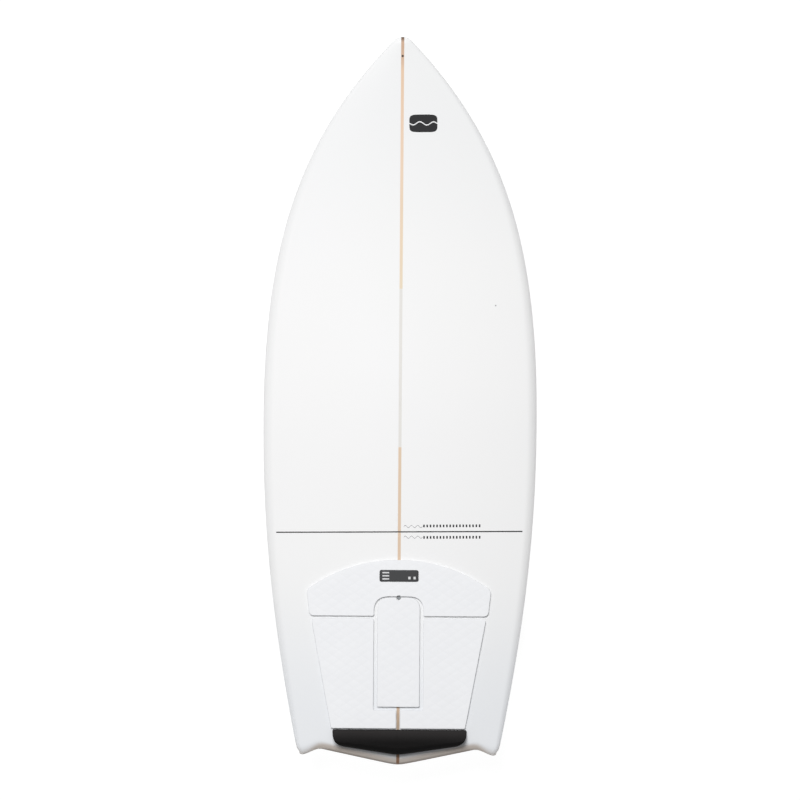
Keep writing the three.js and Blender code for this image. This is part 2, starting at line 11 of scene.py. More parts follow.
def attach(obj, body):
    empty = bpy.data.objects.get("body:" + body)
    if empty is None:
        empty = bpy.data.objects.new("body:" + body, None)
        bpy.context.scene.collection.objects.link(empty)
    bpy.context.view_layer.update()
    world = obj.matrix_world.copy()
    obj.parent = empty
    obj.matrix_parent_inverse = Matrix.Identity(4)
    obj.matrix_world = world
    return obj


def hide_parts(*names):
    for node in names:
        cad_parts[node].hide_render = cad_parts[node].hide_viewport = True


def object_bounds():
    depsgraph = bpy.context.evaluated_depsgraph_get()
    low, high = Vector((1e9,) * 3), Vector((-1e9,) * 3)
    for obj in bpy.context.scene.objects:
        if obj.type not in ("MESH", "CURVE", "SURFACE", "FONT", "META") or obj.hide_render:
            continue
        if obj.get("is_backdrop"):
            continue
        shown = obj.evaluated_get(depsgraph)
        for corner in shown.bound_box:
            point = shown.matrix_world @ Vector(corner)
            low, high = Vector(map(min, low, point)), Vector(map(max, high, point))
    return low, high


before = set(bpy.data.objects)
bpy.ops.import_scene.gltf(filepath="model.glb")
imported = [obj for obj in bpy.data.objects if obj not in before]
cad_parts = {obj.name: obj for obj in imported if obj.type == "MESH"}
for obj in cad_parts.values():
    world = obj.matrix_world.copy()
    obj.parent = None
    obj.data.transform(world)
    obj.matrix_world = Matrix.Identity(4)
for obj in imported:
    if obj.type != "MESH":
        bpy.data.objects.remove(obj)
cad_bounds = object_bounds()
scene = bpy.context.scene

# ---- Studio ----------------------------------------------------------------------------------------
# A wide white table that glows a little, so that it throws hardly any shadow, under one large soft lamp
# that hangs to the board's left and towards its nose. The camera looks straight down, nose up.

RAIL_HEIGHT = 0.04
VIEW_LENGTH = 1.5406
CAMERA_ABOVE = 40.0
CAMERA_PLACE = (0.0019, 0.0005, RAIL_HEIGHT + CAMERA_ABOVE)
CAMERA_ROLL = math.radians(0.4)
LAMP_PLACE = Vector((2.0, 0.8, 6.0))
LAMP_SIZE = 2.6
LAMP_POWER = 334.0
ROOM_LIGHT = 0.24
TABLE_SIZE = 120.0
TABLE_GLOW = 0.93


class Wire:
    """A socket of a node tree. Arithmetic on it adds Math nodes, and node() adds any other node."""

    def __init__(self, tree, socket=None):
        self.tree = tree
        self.socket = socket

    def node(self, kind, settings=None, links=None, out=0):
        made = self.tree.nodes.new(kind)
        for name, value in (settings or {}).items():
            if name == "stops":
                self.set_stops(made.color_ramp, value)
            else:
                setattr(made, name, value)
        for name, value in (links or {}).items():
            if isinstance(value, Wire):
                self.tree.links.new(value.socket, made.inputs[name])
            else:
                made.inputs[name].default_value = value
        return Wire(self.tree, made.outputs[out])

    @staticmethod
    def set_stops(ramp, stops):
        while len(ramp.elements) < len(stops):
            ramp.elements.new(0.5)
        for element, (position, colour) in zip(ramp.elements, stops):
            element.position = position
            element.color = colour

    def math(self, operation, *values):
        return self.node("ShaderNodeMath", {"operation": operation}, dict(enumerate(values)))

    def __add__(self, other):
        return self.math("ADD", self, other)

    def __sub__(self, other):
        return self.math("SUBTRACT", self, other)

    def __rsub__(self, other):
        return self.math("SUBTRACT", other, self)

    def __mul__(self, other):
        return self.math("MULTIPLY", self, other)

    def __truediv__(self, other):
        return self.math("DIVIDE", self, other)

    def __pow__(self, other):
        return self.math("POWER", self, other)

    def __abs__(self):
        return self.math("ABSOLUTE", self)

    __radd__ = __add__
    __rmul__ = __mul__

    def parts(self):
        """The three numbers of a vector."""
        split = self.node("ShaderNodeSeparateXYZ", {}, {0: self}).socket.node
        return [Wire(self.tree, socket) for socket in split.outputs]

    def rise(self, low, high):
        """A smooth step from 0 at low to 1 at high."""
        links = {"Value": self, "From Min": low, "From Max": high}
        return self.node("ShaderNodeMapRange", {"interpolation_type": "SMOOTHSTEP"}, links)

    def mix(self, first, second):
        """The first colour where this is 0, and the second where it is 1."""
        return self.node("ShaderNodeMix", {"data_type": "RGBA"}, {0: self, 6: first, 7: second}, out=2)


def tint(code):
    """A colour written as six hexadecimal digits, in the linear values that shaders use."""
    parts = [int(code[k : k + 2], 16) / 255 for k in (0, 2, 4)]
    return tuple(((c + 0.055) / 1.055) ** 2.4 if c > 0.04045 else c / 12.92 for c in parts) + (1.0,)


def material(name, constants, paint):
    """A Principled material: plain values on its sockets, and over them what paint() returns."""
    made = bpy.data.materials.new(name)
    made.use_nodes = True
    shader = made.node_tree.nodes["Principled BSDF"]
    for socket, value in constants.items():
        shader.inputs[socket].default_value = value
    for socket, wire in paint(Wire(made.node_tree)).items():
        made.node_tree.links.new(wire.socket, shader.inputs[socket])
    return made


def object_place(wire):
    return wire.node("ShaderNodeTexCoord", out="Object")


def noise(place, scale, detail=3.0, roughness=0.5):
    links = {"Vector": place, "Scale": scale, "Detail": detail, "Roughness": roughness}
    return place.node("ShaderNodeTexNoise", {}, links, out="Fac")


def bump(height, strength, distance):
    links = {"Strength": strength, "Distance": distance, "Height": height}
    return height.node("ShaderNodeBump", {}, links)


def table_paint(wire):
    cloud = noise(object_place(wire), 0.7)
    return {"Base Color": cloud.mix(tint("626365"), tint("666664"))}


camera = bpy.data.objects.new("camera", bpy.data.cameras.new("camera"))
camera.data.lens = camera.data.sensor_width * CAMERA_ABOVE / VIEW_LENGTH
camera.data.clip_end = 200
camera.location = CAMERA_PLACE
camera.rotation_euler = (0, 0, CAMERA_ROLL - math.pi / 2)
scene.collection.objects.link(camera)
scene.camera = camera

lamp = bpy.data.objects.new("lamp", bpy.data.lights.new("lamp", "AREA"))
lamp.data.size = LAMP_SIZE
lamp.data.energy = LAMP_POWER
lamp.location = LAMP_PLACE
lamp.rotation_mode = "QUATERNION"
lamp.rotation_quaternion = LAMP_PLACE.to_track_quat("Z", "Y")
scene.collection.objects.link(lamp)

scene.world = bpy.data.worlds.new("room")
scene.world.use_nodes = True
room = scene.world.node_tree.nodes["Background"]
room.inputs["Color"].default_value = (1, 1, 1, 1)
room.inputs["Strength"].default_value = ROOM_LIGHT
scene.view_settings.view_transform = "Standard"

glow = {"Roughness": 0.9, "Emission Color": (1, 1, 1, 1), "Emission Strength": TABLE_GLOW}
half = TABLE_SIZE / 2
low_z = cad_bounds[0].z
table_mesh = bpy.data.meshes.new("table")
corners = [(-half, -half, low_z), (half, -half, low_z), (half, half, low_z), (-half, half, low_z)]
table_mesh.from_pydata(corners, [], [(0, 1, 2, 3)])
table_mesh.materials.append(material("table", glow, table_paint))
table = bpy.data.objects.new("table", table_mesh)
scene.collection.objects.link(table)
table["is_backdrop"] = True

# ---- Foam core ---------------------------------------------------------------------------------------
# Two shaped halves of closed-cell foam, glued to the stringer between them and sealed inside the
# laminate. They have the frame's shape, but are drawn in at the tail's corners to stay under the skin.

CORNER_FROM_X = -0.62
CORNER_FROM_Y = 0.12
CORNER_BLEND_X = 0.03
CORNER_BLEND_Y = 0.02
CORNER_SETBACK = 0.0025
CORNER_HEIGHT = 0.042
CORNER_SQUEEZE = 0.12


def foam_paint(wire):
    place = object_place(wire)
    cells = place.node("ShaderNodeTexVoronoi", {}, {"Vector": place, "Scale": 420.0}, out="Distance")
    colour = noise(place, 30.0).mix(tint("f1efe6"), tint("f7f6f0"))
    return {"Base Color": colour, "Normal": bump(cells, 0.5, 0.0006)}


foam = material("core_foam", {"Roughness": 0.95}, foam_paint)
for node in ("foam_core_left", "foam_core_right"):
    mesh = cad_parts[node].data.copy()
    mesh.transform(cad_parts[node].matrix_world)
    place = np.array([v.co for v in mesh.vertices])
    share = np.clip((CORNER_FROM_X - place[:, 0]) / CORNER_BLEND_X, 0, 1)
    share *= np.clip((np.abs(place[:, 1]) - CORNER_FROM_Y) / CORNER_BLEND_Y, 0, 1)
    place[:, 0] += CORNER_SETBACK * share
    place[:, 2] += (CORNER_HEIGHT - place[:, 2]) * CORNER_SQUEEZE * share
    mesh.vertices.foreach_set("co", place.ravel())
    mesh.materials.clear()
    mesh.materials.append(foam)
    core = bpy.data.objects.new(f"{node}_beads", mesh)
    scene.collection.objects.link(core)
    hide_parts(node)
    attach(core, "board")

# ---- Stringer ----------------------------------------------------------------------------------------
# A 6 mm strip of light wood down the board's middle, glued between the foam halves. Its grain runs
# lengthwise.

GRAIN_STRETCH = (9.0, 700.0, 60.0)


def wood_grain(place):
    """Long streaks from 0 to 1, for wood whose grain runs along the board."""
    drawn = place.node("ShaderNodeMapping", {}, {"Vector": place, "Scale": GRAIN_STRETCH})
    return noise(drawn, 1.0, 4.0, 0.6)


def wood_paint(wire):
    grain = wood_grain(object_place(wire))
    return {"Base Color": grain.mix(tint("c9a37c"), tint("ead0b2")), "Normal": bump(grain, 0.3, 0.0002)}


stringer_wood = material("stringer_wood", {"Roughness": 0.6}, wood_paint)
for material_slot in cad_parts["stringer"].material_slots:
    material_slot.material = stringer_wood

# ---- Deck skin ---------------------------------------------------------------------------------------
# Glass cloth in clear epoxy over white, sanded to a soft satin. It covers the deck from the stringer out
# to the widest line of the rails, and the stringer shows through where the white was masked off.

LENGTH = 1.4
MIDDLE = LENGTH / 2
HALF_WIDTH = 0.2631
WIDE_STATION = 0.735
THICKNESS = 0.055
THICK_STATION = 0.68
NOSE_THICKNESS = 0.012
TAIL_THICKNESS = 0.024
NOSE_ROCKER = 0.088
TAIL_ROCKER = 0.038
FLAT_FRONT = 0.64
FLAT_BACK = 0.76
NOSE_RADIUS = 0.0243
NOSE_JOIN = 0.0074
NOSE_CURVE = [(NOSE_JOIN, 0.0175), (0.2007, 0.2039), (0.4086, HALF_WIDTH), (WIDE_STATION, HALF_WIDTH)]
TAIL_CURVE = [(WIDE_STATION, HALF_WIDTH), (0.9044, HALF_WIDTH), (1.089, 0.2529), (1.384, 0.192)]
TAIL_SLOPE = 0.213
TIP_ROUND = 0.01
WING_LENGTH = 0.02
WING_FROM = 0.146
WING_TO = 0.19
WING_RADIUS = 0.014
WING_CENTRE_Y = 0.1817
WING_CENTRE_STATION = 1.366
CORNER_STATION = WING_CENTRE_STATION + WING_RADIUS * math.sqrt(0.5)
RAIL_APEX = 0.38
RAIL_ROUND = 0.53
NOSE_BOTTOM_POWER = 5
TAIL_BOTTOM_POWER = 12
NOSE_ROUND = 0.014
TAIL_DECK_ROUND = 0.018
TAIL_EDGE_ROUND = 0.007
GAP = 0.0003
SKIN = 0.001
BEND_FROM = 1.24
LINE_STEP = 0.009
RAIL_SHARE = 0.08


def bezier(points, t):
    """The two coordinates of a cubic curve through four [along, across] points, at shares t of its way."""
    weights = [(1 - t) ** 3, 3 * t * (1 - t) ** 2, 3 * t**2 * (1 - t), t**3]
    return [sum(w * p[k] for w, p in zip(weights, points)) for k in (0, 1)]


def curve_width(points, station):
    along, across = bezier(points, np.linspace(0, 1, 4000))
    return np.interp(station, along, across)


def smooth_step(value, low, high):
    share = np.clip((value - low) / (high - low), 0, 1)
    return share**2 * (3 - 2 * share)


def arc_drop(past, radius):
    """How far a quarter round has dropped, past its start."""
    return radius - np.sqrt(radius**2 - np.clip(past, 0, radius) ** 2)


def rail_width(station):
    s = np.clip(station, 0, CORNER_STATION)
    tip = np.sqrt(np.maximum(0, NOSE_RADIUS**2 - (NOSE_RADIUS - s) ** 2))
    side = np.where(s < WIDE_STATION, curve_width(NOSE_CURVE, s), curve_width(TAIL_CURVE, s))
    return np.where(s < NOSE_JOIN, tip, side) - arc_drop(s - WING_CENTRE_STATION, WING_RADIUS)


def tail_station(y):
    """The tail's edge: a shallow vee to the centre tip, with a wing near each rail."""
    side = np.abs(y)
    vee = LENGTH - TAIL_SLOPE * (np.hypot(side, TIP_ROUND) - TIP_ROUND)
    wing = WING_LENGTH * smooth_step(side, WING_FROM, WING_TO)
    return vee + wing - arc_drop(side - WING_CENTRE_Y, WING_RADIUS)


def rocker(station):
    nose = np.maximum(0, FLAT_FRONT - station) / FLAT_FRONT
    tail = np.maximum(0, station - FLAT_BACK) / (LENGTH - FLAT_BACK)
    return NOSE_ROCKER * nose**2.3 + TAIL_ROCKER * tail**2.2


def thickness(station):
    nose = np.maximum(0, THICK_STATION - station) / THICK_STATION
    tail = np.maximum(0, station - THICK_STATION) / (LENGTH - THICK_STATION)
    return THICKNESS - (THICKNESS - NOSE_THICKNESS) * nose**2.4 - (THICKNESS - TAIL_THICKNESS) * tail**2.2


def end_round(distance, reach):
    """The rise of a quarter ellipse, from 0 at an end's edge to 1 at its reach."""
    return np.sqrt(1 - np.clip(1 - distance / reach, 0, 1) ** 2)


def hull_heights(station, y, inset=0.0):
    """The heights of the rail line, the deck and the bottom at a plan point, moved inwards by an inset."""
    thick = thickness(station)
    rise = (1 - RAIL_APEX) * thick
    width = np.maximum(rail_width(station), 1e-9)
    share = np.minimum(1, np.abs(y) / width)
    power = NOSE_BOTTOM_POWER + (TAIL_BOTTOM_POWER - NOSE_BOTTOM_POWER) * station / LENGTH
    nose = end_round(station, NOSE_ROUND)
    to_tail = tail_station(y) - station
    rail = rocker(station) + RAIL_APEX * thick + GAP / 2
    rail_part = end_round(width * (1 - share), RAIL_ROUND * rise)
    crown = (1 - RAIL_ROUND) * (1 - share**2) + RAIL_ROUND * rail_part
    deck_shape = nose * crown * end_round(to_tail, TAIL_DECK_ROUND)
    bottom_shape = nose * np.sqrt(1 - share**power) * end_round(to_tail, TAIL_EDGE_ROUND)
    deck = rail + (rise + GAP / 2 - inset) * deck_shape
    bottom = rail - (RAIL_APEX * thick + GAP / 2 - inset) * bottom_shape
    return rail, deck, bottom


def deck_height(station, y):
    return hull_heights(np.asarray(station, float), np.asarray(y, float))[1]


def bottom_height(station, y):
    return hull_heights(np.asarray(station, float), np.asarray(y, float))[2]


def hull_lines():
    """Stations of the lines across the hull, and how much each bends to follow the tail's edge."""
    turn = 1 - np.cos(np.linspace(0, math.pi / 2, 13))
    rear_end = LENGTH - TAIL_DECK_ROUND
    nose = NOSE_ROUND * turn
    middle = np.linspace(NOSE_ROUND, rear_end, round((rear_end - NOSE_ROUND) / LINE_STEP) + 1)
    tail = LENGTH - TAIL_DECK_ROUND * turn[::-1]
    stations = np.concatenate([nose, middle[1:-1], tail])
    bend = np.clip((stations - BEND_FROM) / (rear_end - BEND_FROM), 0, 1) ** 1.5
    return stations, bend


def hull_plan():
    """The hull's mesh lines in plan, as the station and y of each crossing."""
    stations, bend = hull_lines()
    low = np.zeros_like(stations)
    high = np.full_like(stations, HALF_WIDTH + 0.001)
    for _ in range(50):
        middle = (low + high) / 2
        inside = middle < rail_width(stations + bend * (tail_station(middle) - LENGTH))
        low = np.where(inside, middle, low)
        high = np.where(inside, high, middle)
    round_turn = np.linspace(math.pi / 2, 0, 17)
    near_rail = 1 - RAIL_SHARE * (1 - np.cos(round_turn))
    shares = np.concatenate([np.linspace(0, 1 - RAIL_SHARE, 26), near_rail[1:]])
    across = np.concatenate([-shares[:0:-1], shares])
    y = low[:, None] * across[None, :]
    station = stations[:, None] + bend[:, None] * (tail_station(y) - LENGTH)
    return station, y


def hull_sheets(inset):
    """The deck's and the bottom's points over the plan lines, moved inwards by an inset."""
    _, deck, bottom = hull_heights(PLAN_STATION, PLAN_Y, inset)
    x = (MIDDLE - PLAN_STATION) * (1 - inset / MIDDLE)
    y = PLAN_Y * (1 - inset / np.maximum(rail_width(PLAN_STATION), 0.01))
    return np.stack([x, y, deck], -1), np.stack([x, y, bottom], -1)


def between(top, bottom):
    """Points and faces of the closed solid between two sheets of the same rows and columns."""
    rows, columns = top.shape[:2]
    points = np.concatenate([top.reshape(-1, 3), bottom.reshape(-1, 3)])
    grid = np.arange(rows * columns).reshape(rows, columns)
    shift = rows * columns
    upper = np.stack([grid[:-1, :-1], grid[:-1, 1:], grid[1:, 1:], grid[1:, :-1]], -1).reshape(-1, 4)
    rim = np.concatenate([grid[0, :], grid[1:, -1], grid[-1, -2::-1], grid[-2:0:-1, 0]])
    ahead = np.roll(rim, -1)
    wall = np.stack([ahead, rim, rim + shift, ahead + shift], -1)
    return points, np.concatenate([upper, upper[:, ::-1] + shift, wall]).tolist()


MERGE_WITHIN = 1e-6


def tidy_mesh(mesh, sharp_degrees):
    """Merges doubles, turns the faces outwards and keeps only real edges sharp."""
    shape = bmesh.new()
    shape.from_mesh(mesh)
    bmesh.ops.remove_doubles(shape, verts=shape.verts, dist=MERGE_WITHIN)
    bmesh.ops.dissolve_degenerate(shape, edges=shape.edges, dist=1e-7)
    bmesh.ops.recalc_face_normals(shape, faces=shape.faces)
    shape.to_mesh(mesh)
    shape.free()
    mesh.shade_smooth()
    mesh.set_sharp_from_angle(angle=math.radians(sharp_degrees))


def new_piece(name, points, faces, look=None, sharp_degrees=32):
    mesh = bpy.data.meshes.new(name)
    mesh.from_pydata(np.asarray(points, float).tolist(), [], faces)
    tidy_mesh(mesh, sharp_degrees)
    if look:
        mesh.materials.append(look)
    piece = bpy.data.objects.new(name, mesh)
    scene.collection.objects.link(piece)
    return piece


def plain(piece):
    """Makes a piece's modifiers part of its mesh."""
    bpy.context.view_layer.update()
    graph = bpy.context.evaluated_depsgraph_get()
    mesh = bpy.data.meshes.new_from_object(piece.evaluated_get(graph))
    piece.modifiers.clear()
    piece.data = mesh
    return piece


def carve(piece, operation, *cutters):
    """Joins, cuts or intersects a piece with other closed shapes, which are then gone."""
    for cutter in cutters:
        modifier = piece.modifiers.new("carve", "BOOLEAN")
        modifier.object = cutter
        modifier.operation = operation
        modifier.solver = "EXACT"
    plain(piece)
    for cutter in cutters:
        bpy.data.objects.remove(cutter)
    return piece


def bar(name, radius, low, high, sides=48):
    """An upright round bar, as points and faces of a closed shape."""
    angles = np.linspace(0, 2 * math.pi, sides, endpoint=False)
    ring = np.stack([radius * np.cos(angles), radius * np.sin(angles), np.zeros(sides)], -1)
    points = np.concatenate([ring + (0, 0, low), ring + (0, 0, high)])
    faces = [list(range(sides))[::-1], list(range(sides, 2 * sides))]
    faces += [[k, (k + 1) % sides, sides + (k + 1) % sides, sides + k] for k in range(sides)]
    return new_piece(name, points, faces)


PLAN_STATION, PLAN_Y = hull_plan()
DECK_SHEET, BOTTOM_SHEET = hull_sheets(0.0)
DECK_LINING, BOTTOM_LINING = hull_sheets(SKIN)

STRINGER_HALF = 0.003
MASKED_FROM = 0.217
MASKED_TO = -0.09
KNOT = (0.6635, 0.0)
SPECK = (0.185, -0.1825)
# Colour of the stringer under the resin, by share of the length from the tail.
STRINGER_STOPS = [
    # Painted shade along the tail's edge, behind the kicker.
    (0.0, tint("7a5a46")),
    (0.012, tint("94745f")),
    (0.02, tint("c9ad94")),
    # Painted shadow where the stringer shows in the narrow gap between the rear pads.
    (0.055, tint("ab9884")),
    (0.085, tint("d6baa0")),
    (0.3, tint("e2c9b0")),
    (0.44, tint("e4cdb4")),
    (0.62, tint("ece0c8")),
    (0.72, tint("f0dcc2")),
    (0.85, tint("f0d6bf")),
    (0.955, tint("ecceb2")),
    (0.97, tint("d8b9a0")),
    (0.9945, tint("cba98f")),
    (0.9975, tint("4d3d34")),
]


def spot(x, y, centre, radius):
    """1 inside a small round spot on the deck, and 0 outside it."""
    reach = ((x - centre[0]) ** 2.0 + (y - centre[1]) ** 2.0) ** 0.5
    return 1 - reach.rise(0.6 * radius, radius)


def glass_cloth(x, y, pitch):
    """The plain weave of glass cloth, from -1 to 1."""
    turn = 2 * math.pi / pitch
    return x.math("SINE", x * turn) * y.math("SINE", y * turn)


def laminate_paint(wire):
    place = object_place(wire)
    x, y, _ = place.parts()
    weave = glass_cloth(x, y, 0.0018)
    cloud = noise(place, 5.0)
    white = (cloud * 0.7 + weave * 0.15 + 0.1).mix(tint("f2f2f3"), tint("f5f5f4"))
    # A touch greyer towards the nose, and painted shade towards the tail.
    white = (x.rise(0.2, 0.6) * 0.5).mix(white, tint("eaebec"))
    white = (1 - x.rise(-0.64, -0.28)).mix(white, tint("e9ebee"))
    # Painted shade along the tail's edge, where the deck rolls down away from the light: greyer over the
    # band and darkest at the very edge.
    edge = wire.node("ShaderNodeAttribute", {"attribute_name": "tail_edge"}, out="Fac")
    white = (edge.rise(0.1, 0.55) * 0.8).mix(white, tint("bfb2a6"))
    white = edge.rise(0.7, 1.0).mix(white, tint("84786e"))
    grain = wood_grain(place)
    ramp = {"stops": STRINGER_STOPS}
    along = wire.node("ShaderNodeValToRGB", ramp, {"Fac": (x + MIDDLE) / LENGTH}, out="Color")
    wood = (grain * 0.22).mix(along, tint("b08a69"))
    strip = 1 - abs(y).rise(0.85 * STRINGER_HALF, 1.1 * STRINGER_HALF)
    bare = x.rise(MASKED_FROM - 0.003, MASKED_FROM) + 1 - x.rise(MASKED_TO, MASKED_TO + 0.003)
    colour = (strip * bare).mix(white, wood)
    colour = (strip * (1 - bare) * 0.8).mix(colour, tint("dfdcd7"))
    colour = spot(x, y, KNOT, 0.0028).mix(colour, tint("4b3a33"))
    colour = spot(x, y, SPECK, 0.0016).mix(colour, tint("8d8e90"))
    satin = cloud.rise(0.3, 0.7) * 0.08 + 0.48
    return {"Base Color": colour, "Roughness": satin, "Normal": bump(weave, 0.12, 0.00003)}


def mark_tail_edge(piece):
    """Stores how near each point is to the tail's edge, for the painted shade where the deck rolls down
    away from the light.
    """
    place = np.array([v.co for v in piece.data.vertices])
    to_edge = tail_station(place[:, 1]) - (MIDDLE - place[:, 0])
    inner = 1 - 0.6 * smooth_step(np.abs(place[:, 1]), 0.13, 0.18)
    attribute = piece.data.attributes.new("tail_edge", "FLOAT", "POINT")
    attribute.data.foreach_set("value", np.clip(1 - to_edge / TAIL_DECK_ROUND, 0, 1) * inner)


VENT_STATION = 1.0794
VENT_X = MIDDLE - VENT_STATION
VENT_Z = float(deck_height(VENT_STATION, 0.0))
VENT_RADIUS = 0.007
CUT_CLEAR = 0.0004

resin = {"Specular IOR Level": 0.3, "Coat Weight": 0.08, "Coat Roughness": 0.3}
laminate = material("laminate", resin, laminate_paint)
deck_skin = new_piece("deck_skin_shell", *between(DECK_SHEET, DECK_LINING), laminate)
vent_hole = bar("vent_hole", VENT_RADIUS + CUT_CLEAR, -0.05, 0.05)
vent_hole.data.transform(Matrix.Translation((VENT_X, 0, VENT_Z)))
carve(deck_skin, "DIFFERENCE", vent_hole)
tidy_mesh(deck_skin.data, 32)
mark_tail_edge(deck_skin)
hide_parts("deck_skin")
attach(deck_skin, "board")

# ---- Deck prints -------------------------------------------------------------------------------------
# Plain printed marks on rice paper, laid under the last coat of resin: a line across the deck, two rows
# of ticks, two ripples and a badge of two halves. A geometry tree repeats each mark and lays it down.

PRINT_LIFT = 0.0001
PRINT_TURN = math.radians(0.6)
LINE_STATION = 0.952
LINE_HALF = 0.237
LINE_WIDTH = 0.0023
TICK = (0.0052, 0.0030)
TICK_PITCH = 0.0063
TICK_COUNT = 18
TICK_START_Y = -0.0475
TICK_STATIONS = (LINE_STATION - 0.0112, LINE_STATION + 0.0108)
RIPPLE_CENTRE = (MIDDLE - LINE_STATION, -0.0265)
RIPPLE_LENGTH = 0.036
RIPPLE_WIDTH = 0.0013
RIPPLE_ROWS = 2
RIPPLE_PITCH = 0.0205
BADGE_CENTRE = (MIDDLE - 0.166, -0.049)
BADGE_SIZE = (0.034, 0.054)
BADGE_GAP = 0.0022


def geometry_tree(name, inputs):
    """A geometry tree with one named input for each entry, and a wire from each."""
    tree = bpy.data.node_groups.new(name, "GeometryNodeTree")
    for label, kind in inputs.items():
        tree.interface.new_socket(label, in_out="INPUT", socket_type=kind)
    tree.interface.new_socket("Geometry", in_out="OUTPUT", socket_type="NodeSocketGeometry")
    source = tree.nodes.new("NodeGroupInput")
    return {label: Wire(tree, source.outputs[label]) for label in inputs}


def close_tree(geometry, look):
    """Ends a geometry tree: real faces in one material."""
    real = geometry.node("GeometryNodeRealizeInstances", {}, {"Geometry": geometry})
    painted = real.node("GeometryNodeSetMaterial", {}, {"Geometry": real, "Material": look})
    sink = geometry.tree.nodes.new("NodeGroupOutput")
    geometry.tree.links.new(painted.socket, sink.inputs["Geometry"])


def grown(name, tree, values, start=None):
    """The plain piece that a geometry tree makes from its inputs and a starting mesh."""
    piece = bpy.data.objects.new(name, start or bpy.data.meshes.new(name))
    scene.collection.objects.link(piece)
    modifier = piece.modifiers.new("shape", "NODES")
    modifier.node_group = tree
    for item in tree.interface.items_tree:
        if item.in_out == "INPUT" and item.name in values:
            modifier[item.identifier] = values[item.name]
    return plain(piece)


def drape_tree():
    """Repeats a flat mark across the board and lays each copy on the deck."""
    kinds = {"Geometry": "NodeSocketGeometry", "Deck": "NodeSocketObject", "Count": "NodeSocketInt"}
    kinds |= {"Pitch": "NodeSocketVector", "Lift": "NodeSocketFloat", "Ink": "NodeSocketMaterial"}
    put = geometry_tree("drape_marks", kinds)
    mark = put["Geometry"]
    row = mark.node("GeometryNodeMeshLine", {}, {"Count": put["Count"], "Offset": put["Pitch"]})
    copies = mark.node("GeometryNodeInstanceOnPoints", {}, {"Points": row, "Instance": mark})
    copies = copies.node("GeometryNodeRealizeInstances", {}, {"Geometry": copies})
    deck = mark.node("GeometryNodeObjectInfo", {}, {"Object": put["Deck"]}, out="Geometry")
    here = mark.node("GeometryNodeInputPosition")
    above = mark.node("ShaderNodeVectorMath", {"operation": "ADD"}, {0: here, 1: (0, 0, 1)})
    ray = {"Target Geometry": deck, "Source Position": above, "Ray Direction": (0, 0, -1)}
    hit = mark.node("GeometryNodeRaycast", {}, ray, out="Hit Position")
    x, y, z = hit.parts()
    lifted = mark.node("ShaderNodeCombineXYZ", {}, {"X": x, "Y": y, "Z": z + put["Lift"]})
    draped = mark.node("GeometryNodeSetPosition", {}, {"Geometry": copies, "Position": lifted})
    close_tree(draped, put["Ink"])
    return mark.tree


def ribbon(low, high):
    """A flat mesh between two rows of points, each an array of x and y."""
    count = len(low)
    flat = np.concatenate([low, high])
    points = np.concatenate([flat, np.zeros((2 * count, 1))], -1)
    faces = [[k, k + 1, count + k + 1, count + k] for k in range(count - 1)]
    mesh = bpy.data.meshes.new("mark")
    mesh.from_pydata(points.tolist(), [], faces)
    shape = bmesh.new()
    shape.from_mesh(mesh)
    for face in shape.faces:
        face.normal_update()
        if face.normal.z < 0:
            face.normal_flip()
    shape.to_mesh(mesh)
    shape.free()
    return mesh


def band_across(x, y_from, y_to, width, count):
    y = np.linspace(y_from, y_to, count)
    return ribbon(np.stack([x - width / 2 + 0 * y, y], -1), np.stack([x + width / 2 + 0 * y, y], -1))


def ripple_mark():
    y = np.linspace(-RIPPLE_LENGTH / 2, RIPPLE_LENGTH / 2, 40)
    x = 0.0022 * np.sin(y / RIPPLE_LENGTH * 6 * math.pi)
    centre = np.stack([RIPPLE_CENTRE[0] + RIPPLE_PITCH / 2 + x, RIPPLE_CENTRE[1] + y], -1)
    half = np.array([RIPPLE_WIDTH / 2, 0])
    return ribbon(centre - half, centre + half)


def badge_half(side):
    """One half of the badge: a pill cut along a wave."""
    share = np.sin(np.linspace(-math.pi / 2, math.pi / 2, 41))
    reach = BADGE_SIZE[0] / 2 * (1 - np.abs(share) ** 5) ** 0.2
    wave = 0.0032 * np.sin(share * 2 * math.pi)
    inner = side * BADGE_GAP / 2 + wave * (1 - share**8)
    outer = np.where(side * (side * reach - inner) > 0, side * reach, inner)
    y = BADGE_CENTRE[1] + share * BADGE_SIZE[1] / 2
    low = np.stack([BADGE_CENTRE[0] + inner, y], -1)
    return ribbon(low, np.stack([BADGE_CENTRE[0] + outer, y], -1))


def ink(name, code):
    def paint(wire):
        speckle = noise(object_place(wire), 900.0)
        return {"Base Color": (speckle * 0.06).mix(tint(code), tint("8a8b8e"))}

    return material(name, {"Roughness": 0.5, "Specular IOR Level": 0.25}, paint)


drape = drape_tree()
black_ink = ink("print_black", "1a1a1c")
grey_ink = ink("print_grey", "a3a3a5")
tick = band_across(0, -TICK[1] / 2, TICK[1] / 2, TICK[0], 2)
line = band_across(MIDDLE - LINE_STATION, -LINE_HALF, LINE_HALF, LINE_WIDTH, 120)
marks = {"print_line": (line, 1, (0, 0, 0), black_ink)}
for row_number, station in enumerate(TICK_STATIONS, 1):
    row = tick.copy()
    row.transform(Matrix.Translation((MIDDLE - station, TICK_START_Y, 0)))
    marks[f"print_ticks_{row_number}"] = (row, TICK_COUNT, (0, -TICK_PITCH, 0), black_ink)
marks["print_ripple"] = (ripple_mark(), RIPPLE_ROWS, (-RIPPLE_PITCH, 0, 0), grey_ink)
marks["print_badge_front"] = (badge_half(1), 1, (0, 0, 0), black_ink)
marks["print_badge_rear"] = (badge_half(-1), 1, (0, 0, 0), black_ink)
to_line = Matrix.Translation((MIDDLE - LINE_STATION, 0, 0))
turn = to_line @ Matrix.Rotation(PRINT_TURN, 4, "Z") @ to_line.inverted()
for name, (flat, count, pitch, look) in marks.items():
    flat.transform(turn)
    pitch = turn.to_3x3() @ Vector(pitch)
    values = {"Deck": deck_skin, "Count": count, "Pitch": pitch, "Lift": PRINT_LIFT, "Ink": look}
    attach(grown(name, drape, values, flat), "board")

